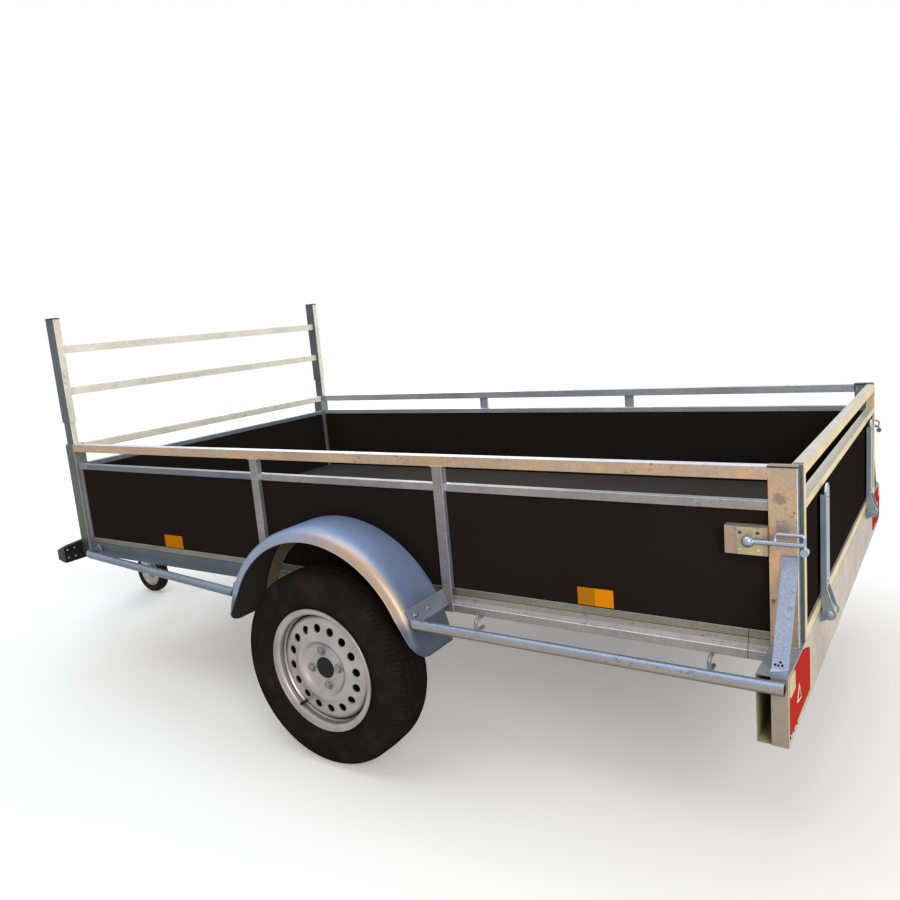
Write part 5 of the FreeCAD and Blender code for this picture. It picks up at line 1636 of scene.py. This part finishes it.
    def cap(self) -> Piece:
        """Builds the plain hub cap with its rolled rim and shallow crown.

        Returns:
            The left cap.
        """
        cap = self.spun(f"hub_cap_{self.side.word}", self.cap_dome, self.hub_steps)
        smooth(cap, degrees=40)
        return cap

    def valve(self) -> Piece:
        """Builds the snap in valve between barrel and disc.

        Returns:
            The left valve.
        """
        foot = self.at(*self.valve_at, self.valve_turn)
        stem = turned(f"tyre_valve_{self.side.word}", self.hub_line(foot, self.valve_stem), foot, OUTWARD, steps=20)
        smooth(stem, degrees=40)
        return stem

    def brake_plate(self) -> Piece:
        """Presses a dished plate of painted shade behind the wheel, a dark sheet that closes the view through its
        vents.

        Returns:
            The left plate.
        """
        plate = self.spun(f"brake_plate_{self.side.word}", self.back_plate, steps=72)
        smooth(plate, degrees=35)
        return plate

    def build(self) -> None:
        """Builds the wheel on the left and mirrors it for the right."""
        body = f"wheel_{self.side.word}"
        plans = (
            # The shade plate is a dark sheet of painted shade behind the vents
            (self.brake_plate, GRIME_AND_SHADE, "cast_steel", None),
            (self.tyre, TYRE_RUBBER, "tyre_rubber", "tyre"),
            (self.rim, SILVER_PAINT, "wheel_silver", "rim"),
            (self.hub, BRIGHT_ZINC, "zinc_plated", "hub"),
            (self.cap, BLACK_PLASTIC, "black_plastic", None),
            (self.valve, BLACK_PLASTIC, "black_plastic", None),
        )
        for make, finish, slot, node in plans:
            names = (f"{node}_{self.side.word}",) if node else ()
            show(on_side(make(), self.side), "chassis" if make == self.brake_plate else body, finish, slot, *names)


# --- Fenders ---------------------------------------------------------------------------------------------------------


@dataclass
class Fender:
    """Rolled sheet fender: crowned top, lip with a rolled wire edge, inner flange, rounded tails."""

    side: Side
    x: float = -0.612
    z: float = 0.339
    end_angle: float = 6.3
    corner: float = 55 * MM
    outer: float = 902.0
    wall: float = 1.8 * MM
    wire: float = 2.4 * MM
    steps: int = 72
    corner_cuts: int = 8
    tail_reach: float = 0.360
    lip_reach: Span = (0.3565, 0.3272)
    lip_rise: Span = (0.008, 0.110)
    lip_margin: float = 20 * MM
    lip_from: float = 0.87
    tails_from: float = 0.2
    flange_edge: float = 0.742
    flange: float = 0.75
    skin_edge: float = 0.8955
    skin_reach: float = 0.3585
    lip_inside: float = 0.86
    section: Section = (
        (323.0, 738.0), (340.0, 738.0), (353.0, 738.2), (357.6, 739.6), (359.0, 743.5), (359.1, 760.0),
        (359.1, 800.0), (359.1, 840.0), (358.9, 862.0), (357.6, 876.0), (354.6, 887.4), (349.6, 895.6),
        (343.4, 899.8), (336.0, 900.9), (327.4, 901.0))

    @property
    def end(self) -> float:
        """The height at which both tails end."""
        return self.z + self.tail_reach * math.sin(math.radians(self.end_angle))

    def round_tails(self, sheet: Piece) -> None:
        """Cuts the outer corners of both tails round with cuts that follow the corner.

        Args:
            sheet: The left fender's sheet.
        """
        centre = Vector((0.0, self.outer * MM - self.corner, self.end + self.corner))
        with editing(sheet):
            for cut in range(1, self.corner_cuts):
                angle = math.radians(90 * cut / self.corner_cuts)
                out = Vector((0.0, math.sin(angle), -math.cos(angle)))
                bpy.ops.mesh.select_all(action="SELECT")
                bpy.ops.mesh.bisect(plane_co=centre + out * self.corner, plane_no=out, clear_outer=True)

    def slope_lips(self, sheet: Piece) -> None:
        """Tapers the lip towards both tails with one slanted cut on each.

        Args:
            sheet: The left fender's sheet.
        """
        top, low = (self.on_arc(reach, self.end + rise) for reach, rise in zip(self.lip_reach, self.lip_rise))
        with editing(sheet):
            for way in (-1.0, 1.0):
                inward = Vector((-way * (low[1] - top[1]), 0.0, low[0] - top[0])).normalized()
                mark(sheet, Part.FACES, lambda face: face.calc_center_median().y > self.lip_from
                     and (face.calc_center_median().x - self.x) * way > self.tails_from
                     and face.calc_center_median().z < self.end + self.lip_rise[1] + self.lip_margin)
                bpy.ops.mesh.bisect(plane_co=(self.x + way * top[0], 0.0, top[1]), plane_no=inward, clear_outer=True)

    def on_arc(self, radius: float, height: float) -> tuple[float, float]:
        """Gives the distance from the fender's middle and the height of a point of the arc."""
        return (math.sqrt(radius ** 2 - (height - self.z) ** 2), height)

    def edge_wire(self, sheet: Piece) -> Piece:
        """Draws the rolled wire along the sheet's lip and round its tails.

        Args:
            sheet: The sheet whose open edge it follows.

        Returns:
            The wire as a tube.
        """
        line = copied(sheet, f"fender_wire_{self.side.word}", Matrix.Identity(4))
        with editing(line):
            mark(line, Part.EDGES, lambda edge: not (len(edge.link_faces) == 1 and min(
                corner.co.y for corner in edge.verts) > self.flange_edge))
            bpy.ops.mesh.delete(type="EDGE")
            merge_all(0.2 * MM)
        pick_only(line)
        bpy.ops.object.convert(target="CURVE")
        line = bpy.context.view_layer.objects.active
        line.data.bevel_depth = self.wire
        line.data.bevel_resolution = 3
        line.data.use_fill_caps = True
        bpy.ops.object.convert(target="MESH")
        return newest(f"fender_wire_{self.side.word}")

    def on_underside(self, face: Face) -> bool:
        """Tells the faces that look at the wheel from the outer skin and the wire, which wear painted shade and grime.

        Args:
            face: A face of the left fender.

        Returns:
            True for a face of the underside.
        """
        across, up = face.center.x - self.x, face.center.z - self.z
        inward = (face.normal.x * across + face.normal.z * up) / math.hypot(across, up) < -LEANING
        hidden = face.center.y < self.skin_edge and math.hypot(across, up) < self.skin_reach
        return hidden and (inward or (face.normal.y < -LEANING and face.center.y > self.lip_inside))

    def on_flange(self, face: Face) -> bool:
        """Tells the inner flange's faces that look out at the wheel, which wear painted shade."""
        return face.normal.y > LEANING and face.center.y < self.flange

    def build(self) -> None:
        """Builds the fender with its wire edge."""
        start = math.radians(self.end_angle)
        points = [(self.x + radius * MM * math.cos(start), out * MM, self.z + radius * MM * math.sin(start))
                  for radius, out in eased(self.section, parts=2)]
        sheet = turned(f"rolled_fender_{self.side.word}", points, (self.x, 0.0, self.z), OUTWARD, self.steps,
                       180 - 2 * self.end_angle)
        self.round_tails(sheet)
        self.slope_lips(sheet)
        wire = self.edge_wire(sheet)
        modify(sheet, "SOLIDIFY", thickness=self.wall, offset=0.0)
        fender = joined(sheet.name, [sheet, wire])
        smooth(fender, degrees=40)
        SHEET_ZINC.dress(fender)
        # Painted shade under the fender and on its inner flange
        GRIME_AND_SHADE.touch_up(fender, self.on_underside)
        FLANGE_SHADE.touch_up(fender, self.on_flange)
        show(on_side(fender, self.side), "chassis", SHEET_ZINC, "galvanised", f"fender_{self.side.word}")


# --- Small fittings --------------------------------------------------------------------------------------------------


def facing(direction: Point, place: Point) -> Matrix:
    """Turns a part that was modelled upright at the origin to face a direction and moves it to its place."""
    turn = Vector(UP).rotation_difference(Vector(direction)).to_matrix().to_4x4()
    return Matrix.Translation(place) @ turn


class Head(Enum):
    """The forms of a fastener's head."""

    HEXAGON = "hexagon with washer"
    DOME = "dome"


@dataclass(frozen=True)
class Row:
    """Like heads on the left: form, width and height in millimetres, where they look, their places and finish."""

    name: str
    head: Head
    across: float
    tall: float
    out: Point
    places: tuple[Point, ...]
    finish: Finish
    body: str = "chassis"


ROWS = (
    Row("rear_strip_bolts", Head.HEXAGON, 9.0, 4.0, (-0.912, 0.0, 0.41),
        ((-0.9441, 0.805, 0.488), (-0.9441, 0.862, 0.488)), BRIGHT_ZINC),
    Row("front_strip_bolts", Head.HEXAGON, 9.0, 4.0, (0.912, 0.0, 0.41),
        ((-0.2799, 0.775, 0.488), (-0.2799, 0.838, 0.488)), BRIGHT_ZINC),
    Row("latch_rivets", Head.DOME, 8.0, 2.0, OUTWARD, ((-1.7271, 0.732, 0.7381), (-1.7633, 0.732, 0.7389)), CAP_ZINC),
    Row("latch_screws", Head.DOME, 6.0, 1.4, OUTWARD, ((-1.7268, 0.732, 0.7006), (-1.7633, 0.732, 0.6997)),
        SCREW_BRIGHT),
    Row("lamp_screws", Head.DOME, 7.0, 1.6, BACK,
        ((-1.845, 0.7903, 0.3566), (-1.845, 0.8218, 0.3573), (-1.845, 0.8574, 0.3585)), BLACK_SCREW),
    Row("strap_bolts", Head.DOME, 13.0, 2.6, BACK, ((-1.860, 0.465, 0.762), (-1.860, 0.465, 0.56)), BRIGHT_ZINC,
        "tailgate"),
    Row("hinge_pin_heads", Head.DOME, 15.0, 3.0, OUTWARD, ((-1.865, 0.4915, 0.481),), BAR_ZINC, "tailgate"),
    Row("front_lamp_screws", Head.DOME, 6.0, 1.5, BACK,
        ((0.770, 0.7819, 0.4768), (0.770, 0.7527, 0.478), (0.770, 0.7812, 0.4464), (0.770, 0.7523, 0.4454)),
        SCREW_BRIGHT),
    Row("brace_marks", Head.DOME, 5.0, 1.0, (0.0, 0.838, 0.545),
        ((-1.8137, 0.8321, 0.4979), (-1.8200, 0.8326, 0.4971), (-1.8275, 0.8321, 0.4979), (-1.8234, 0.8291, 0.5026)),
        BLACK_SCREW),
    Row("coupling_bolts", Head.HEXAGON, 13.0, 5.0, OUTWARD, ((1.69, 0.0314, 0.414), (1.76, 0.0314, 0.414)),
        BRIGHT_ZINC),
)


@dataclass
class Fasteners:
    """Bolt heads, rivets and screws where the photograph and the type have them.

    A head's inset, crown, chamfer and least upright edge, its washer's reach and a dome's profile are shares of its
    own size.
    """

    rows: tuple[Row, ...] = ROWS
    inset: float = 0.08
    crown: float = 0.15
    chamfer: float = 0.04
    upright: float = 0.6
    washer_reach: float = 0.68
    washer_tall: float = 1.2
    washer: Section = ((0.0, 0.0), (0.0, 0.9), (-0.4, 1.3))
    dome: Section = ((1.0, 0.0), (1.0, 0.35), (0.86, 0.72), (0.55, 0.94), (0.0, 1.0))

    def hex_head(self, across: float, tall: float) -> Piece:
        """Models a chamfered hexagon head on its washer.

        Args:
            across: Its width over the corners in millimetres.
            tall: Its height in millimetres.

        Returns:
            The head, standing upright at the origin.
        """
        bpy.ops.mesh.primitive_cylinder_add(vertices=6, radius=across / 2 * MM, depth=tall * MM,
                                            location=(0.0, 0.0, (tall / 2 + self.washer_tall) * MM))
        head = newest("head")
        settle(head)
        with editing(head):
            mark(head, Part.FACES, lambda face: looks(face, UP))
            bpy.ops.mesh.inset(thickness=across * self.inset * MM)
            bpy.ops.transform.translate(value=(0.0, 0.0, tall * self.crown * MM))
            mark(head, Part.EDGES, lambda edge: runs(edge, Z) > tall * self.upright * MM)
            bpy.ops.mesh.bevel(offset=across * self.chamfer * MM, segments=2, affect="EDGES")
        rim = across * self.washer_reach
        points = [((rim + reach) * MM, 0.0, up * MM) for reach, up in self.washer]
        ring = turned("washer", [*points, (0.0, 0.0, points[-1][Z])], ORIGIN, UP, steps=20)
        bolt = joined("bolt_head", [head, ring])
        smooth(bolt, degrees=35)
        return bolt

    def dome_head(self, across: float, tall: float) -> Piece:
        """Models a rivet or a pan head screw as a turned dome.

        Args:
            across: Its width in millimetres.
            tall: Its height in millimetres.

        Returns:
            The head, standing upright at the origin.
        """
        points = [(across / 2 * out * MM, 0.0, tall * up * MM) for out, up in self.dome]
        dome = turned("dome_head", points, ORIGIN, UP, steps=16)
        smooth(dome, degrees=50)
        return dome

    def set_row(self, row: Row) -> None:
        """Models a row's head once, copies it to its places on the left and mirrors them to the right.

        Args:
            row: The row of heads.
        """
        head = (self.hex_head if row.head is Head.HEXAGON else self.dome_head)(row.across, row.tall)
        heads = [copied(head, f"{row.name}_{index}", facing(row.out, place)) for index, place in enumerate(row.places)]
        bpy.data.objects.remove(head)
        show_both(joined(f"{row.name}_left", heads), row.body, row.finish, "zinc_plated")

    def build(self) -> None:
        """Sets every row of heads."""
        for row in self.rows:
            self.set_row(row)


@dataclass
class Welds:
    """Beads of weld metal along the joints, each a rippled run."""

    radius: float = 2.4 * MM
    ripple: float = 0.55 * MM
    pitch: float = 4.0 * MM
    foot_share: float = 0.5
    tip_share: float = 0.4
    runs: tuple[tuple[Point, Point], ...] = (
        ((-0.971, 0.7185, 0.8505), (-0.929, 0.7185, 0.8505)),
        ((-0.273, 0.7185, 0.8505), (-0.231, 0.7185, 0.8505)),
        ((-0.9715, 0.7125, 0.7845), (-0.9715, 0.7125, 0.8015)),
        ((-0.9285, 0.7125, 0.7845), (-0.9285, 0.7125, 0.8015)),
        ((-0.2735, 0.7125, 0.7845), (-0.2735, 0.7125, 0.8015)),
        ((-0.2305, 0.7125, 0.7845), (-0.2305, 0.7125, 0.8015)),
        ((-1.7825, 0.7125, 0.7845), (-1.7825, 0.7125, 0.8015)),
        ((-1.7825, 0.7185, 0.853), (-1.7825, 0.7185, 0.877)),
        ((0.7195, 0.7185, 0.853), (0.7195, 0.7185, 0.877)),
        ((-1.836, 0.7185, 0.488), (-1.788, 0.7185, 0.488)),
        ((-1.838, 0.7215, 0.6635), (-1.809, 0.7215, 0.6635)),
        ((0.653, 0.7185, 0.4845), (0.667, 0.7185, 0.4845)),
        ((0.653, 0.7185, 0.4575), (0.667, 0.7185, 0.4575)),
        ((0.648, 0.7185, 0.462), (0.648, 0.7185, 0.480)),
    )

    def bead(self, start: Point, end: Point) -> Piece:
        """Turns one rippled run between two points.

        Args:
            start: Where the run starts.
            end: Where it ends.

        Returns:
            The bead.
        """
        way = Vector(end) - Vector(start)
        count = max(2, round(way.length / self.pitch)) * 2
        foot, tip = self.radius * self.foot_share, self.radius * self.tip_share
        line = [(0.0, 0.0, -tip), (foot, 0.0, 0.0)]
        for index in range(1, count):
            swell = self.ripple if index % 2 else -self.ripple
            line.append((self.radius + swell, 0.0, way.length * index / count))
        line += [(foot, 0.0, way.length), (0.0, 0.0, way.length + tip)]
        bead = turned("weld_run", line, ORIGIN, UP, steps=8)
        bead.matrix_world = facing(tuple(way.normalized()), start)
        settle(bead)
        smooth(bead, degrees=80)
        return bead

    def build(self) -> None:
        """Lays every run on the left and mirrors them."""
        beads = joined("weld_beads_left", [self.bead(start, end) for start, end in self.runs])
        show_both(beads, "chassis", WELD_ZINC, "galvanised")


@dataclass
class PostCaps:
    """Small plates welded over the open ends of the rear posts."""

    low: Point = (-1.8415, 0.6965, 0.8772)
    high: Point = (-1.7805, 0.7220, 0.8808)
    corner: float = 3.0 * MM
    edge: float = 0.8 * MM
    crown: float = 0.4 * MM

    def build(self) -> None:
        """Shapes the plate on the left and mirrors it."""
        middle = [(a + b) / 2 for a, b in zip(self.low, self.high)]
        size = [b - a for a, b in zip(self.low, self.high)]
        bpy.ops.mesh.primitive_cube_add(size=1.0, location=middle, scale=size)
        plate = newest("post_cap_left")
        settle(plate)
        with editing(plate):
            mark(plate, Part.EDGES, lambda edge: runs(edge, Z) > size[Z] / 2)
            bpy.ops.mesh.bevel(offset=self.corner, segments=3, affect="EDGES")
            mark(plate, Part.FACES, lambda face: looks(face, UP))
            bpy.ops.mesh.inset(thickness=self.edge)
            bpy.ops.transform.translate(value=(0.0, 0.0, self.crown))
        smooth(plate, degrees=30)
        show_both(plate, "chassis", CAP_ZINC, "galvanised")


@dataclass
class UprightLiners:
    """Plates that close the uprights towards the load space above the plywood."""

    spans: tuple[Span, ...] = ((-0.9695, -0.9305), (-0.2715, -0.2325))
    low: float = 0.8035
    high: float = 0.8505
    inner: float = 0.703
    thick: float = 2.5 * MM
    edge: float = 0.9 * MM

    def build(self) -> None:
        """Shapes one plate, copies it along the frame and mirrors the pair."""
        start, end = self.spans[0]
        size = (end - start, self.thick, self.high - self.low)
        middle = ((start + end) / 2, self.inner + self.thick / 2, (self.low + self.high) / 2)
        bpy.ops.mesh.primitive_cube_add(size=1.0, location=middle, scale=size)
        plate = newest("upright_liner")
        settle(plate)
        with editing(plate):
            mark(plate, Part.EDGES, lambda edge: runs(edge, Z) > size[Z] / 2)
            bpy.ops.mesh.bevel(offset=self.edge, segments=2, affect="EDGES")
        smooth(plate, degrees=35)
        other = copied(plate, "upright_liner_front", Matrix.Translation((self.spans[1][0] - start, 0.0, 0.0)))
        show_both(joined("upright_liners_left", [plate, other]), "chassis", POST_ZINC, "galvanised", far=FAR_ZINC)


@dataclass
class LampTriangle:
    """Red prism triangle, as tail lamps of trailers have, in a raised edge painted white as a highlight."""

    corners_at: tuple[Point, ...] = ((-1.8482, 0.7759, 0.4389), (-1.8482, 0.7557, 0.3983), (-1.8482, 0.8000, 0.4063))
    edge: float = 4.0 * MM
    thick: float = 0.8 * MM
    crown: float = 0.3 * MM

    def build(self) -> None:
        """Draws the triangle, raises its edge and mirrors it."""
        outline = profile_line("lamp_triangle_left", [*self.corners_at, self.corners_at[0]])
        with editing(outline):
            merge_all(0.05 * MM)
            bpy.ops.mesh.select_all(action="SELECT")
            bpy.ops.mesh.edge_face_add()
            bpy.ops.mesh.extrude_region_move(TRANSFORM_OT_translate={"value": (-self.thick, 0.0, 0.0)})
            face_out()
            mark(outline, Part.FACES, lambda face: looks(face, BACK))
            bpy.ops.mesh.inset(thickness=self.edge)
            bpy.ops.transform.translate(value=(-self.crown, 0.0, 0.0))
        # The raised edge wears a painted highlight
        TRIANGLE_HIGHLIGHT.dress(outline)
        RED_REFLECTOR.touch_up(outline, lambda face: looks(face, BACK) and len(face.vertices) == 3)
        show_both(outline, "chassis", TRIANGLE_HIGHLIGHT, "red_lens")


@dataclass
class JockeyWheel:
    """Nose wheel: solid rubber tread on a dished steel hub."""

    x: float = 1.295
    y: float = 0.072
    z: float = 0.100
    tread: Section = (
        (66.0, 17.0), (70.0, 21.5), (76.0, 24.2), (84.0, 24.9), (91.0, 22.6), (95.6, 18.6), (98.4, 13.0), (99.6, 6.0))
    hub: Section = (
        (66.5, 17.4), (64.0, 19.0), (61.0, 17.0), (57.0, 9.0), (50.0, 5.0), (36.0, 4.4), (27.0, 7.0), (21.0, 15.0),
        (18.0, 23.0), (15.0, 24.8), (8.5, 24.8))

    def spun(self, name: str, section: Section) -> Piece:
        """Turns a half section, mirrored about the wheel's middle and closed, about the axle.

        Args:
            name: The new piece's name.
            section: Radius and reach sideways in millimetres.

        Returns:
            The turned piece.
        """
        half = eased(section, parts=2)
        other = [(radius, -out) for radius, out in reversed(half)]
        points = [(self.x + radius * MM, self.y + out * MM, self.z) for radius, out in (*half, *other, half[0])]
        piece = turned(name, points, (self.x, self.y, self.z), OUTWARD, steps=64)
        smooth(piece, degrees=40)
        return piece

    def build(self) -> None:
        """Builds tread and hub."""
        show(self.spun("nose_wheel_tread", self.tread), "jockey_roller", CASTOR_RUBBER, "castor_rubber",
             "jockey_wheel")
        show(self.spun("nose_wheel_hub", self.hub), "jockey_roller", SILVER_PAINT, "wheel_silver")


def main() -> None:
    """Builds the studio and dresses the trailer, one sub-assembly after another."""
    logging.basicConfig(level=logging.INFO, format="%(name)s: %(message)s")
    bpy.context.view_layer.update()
    Studio().build()
    TakenOver().build()
    for side in Side:
        RoadWheel(side).build()
        Fender(side).build()
    for fittings in (PostCaps(), UprightLiners(), Welds(), Fasteners(), LampTriangle(), JockeyWheel()):
        fittings.build()


if __name__ == "__main__":
    main()
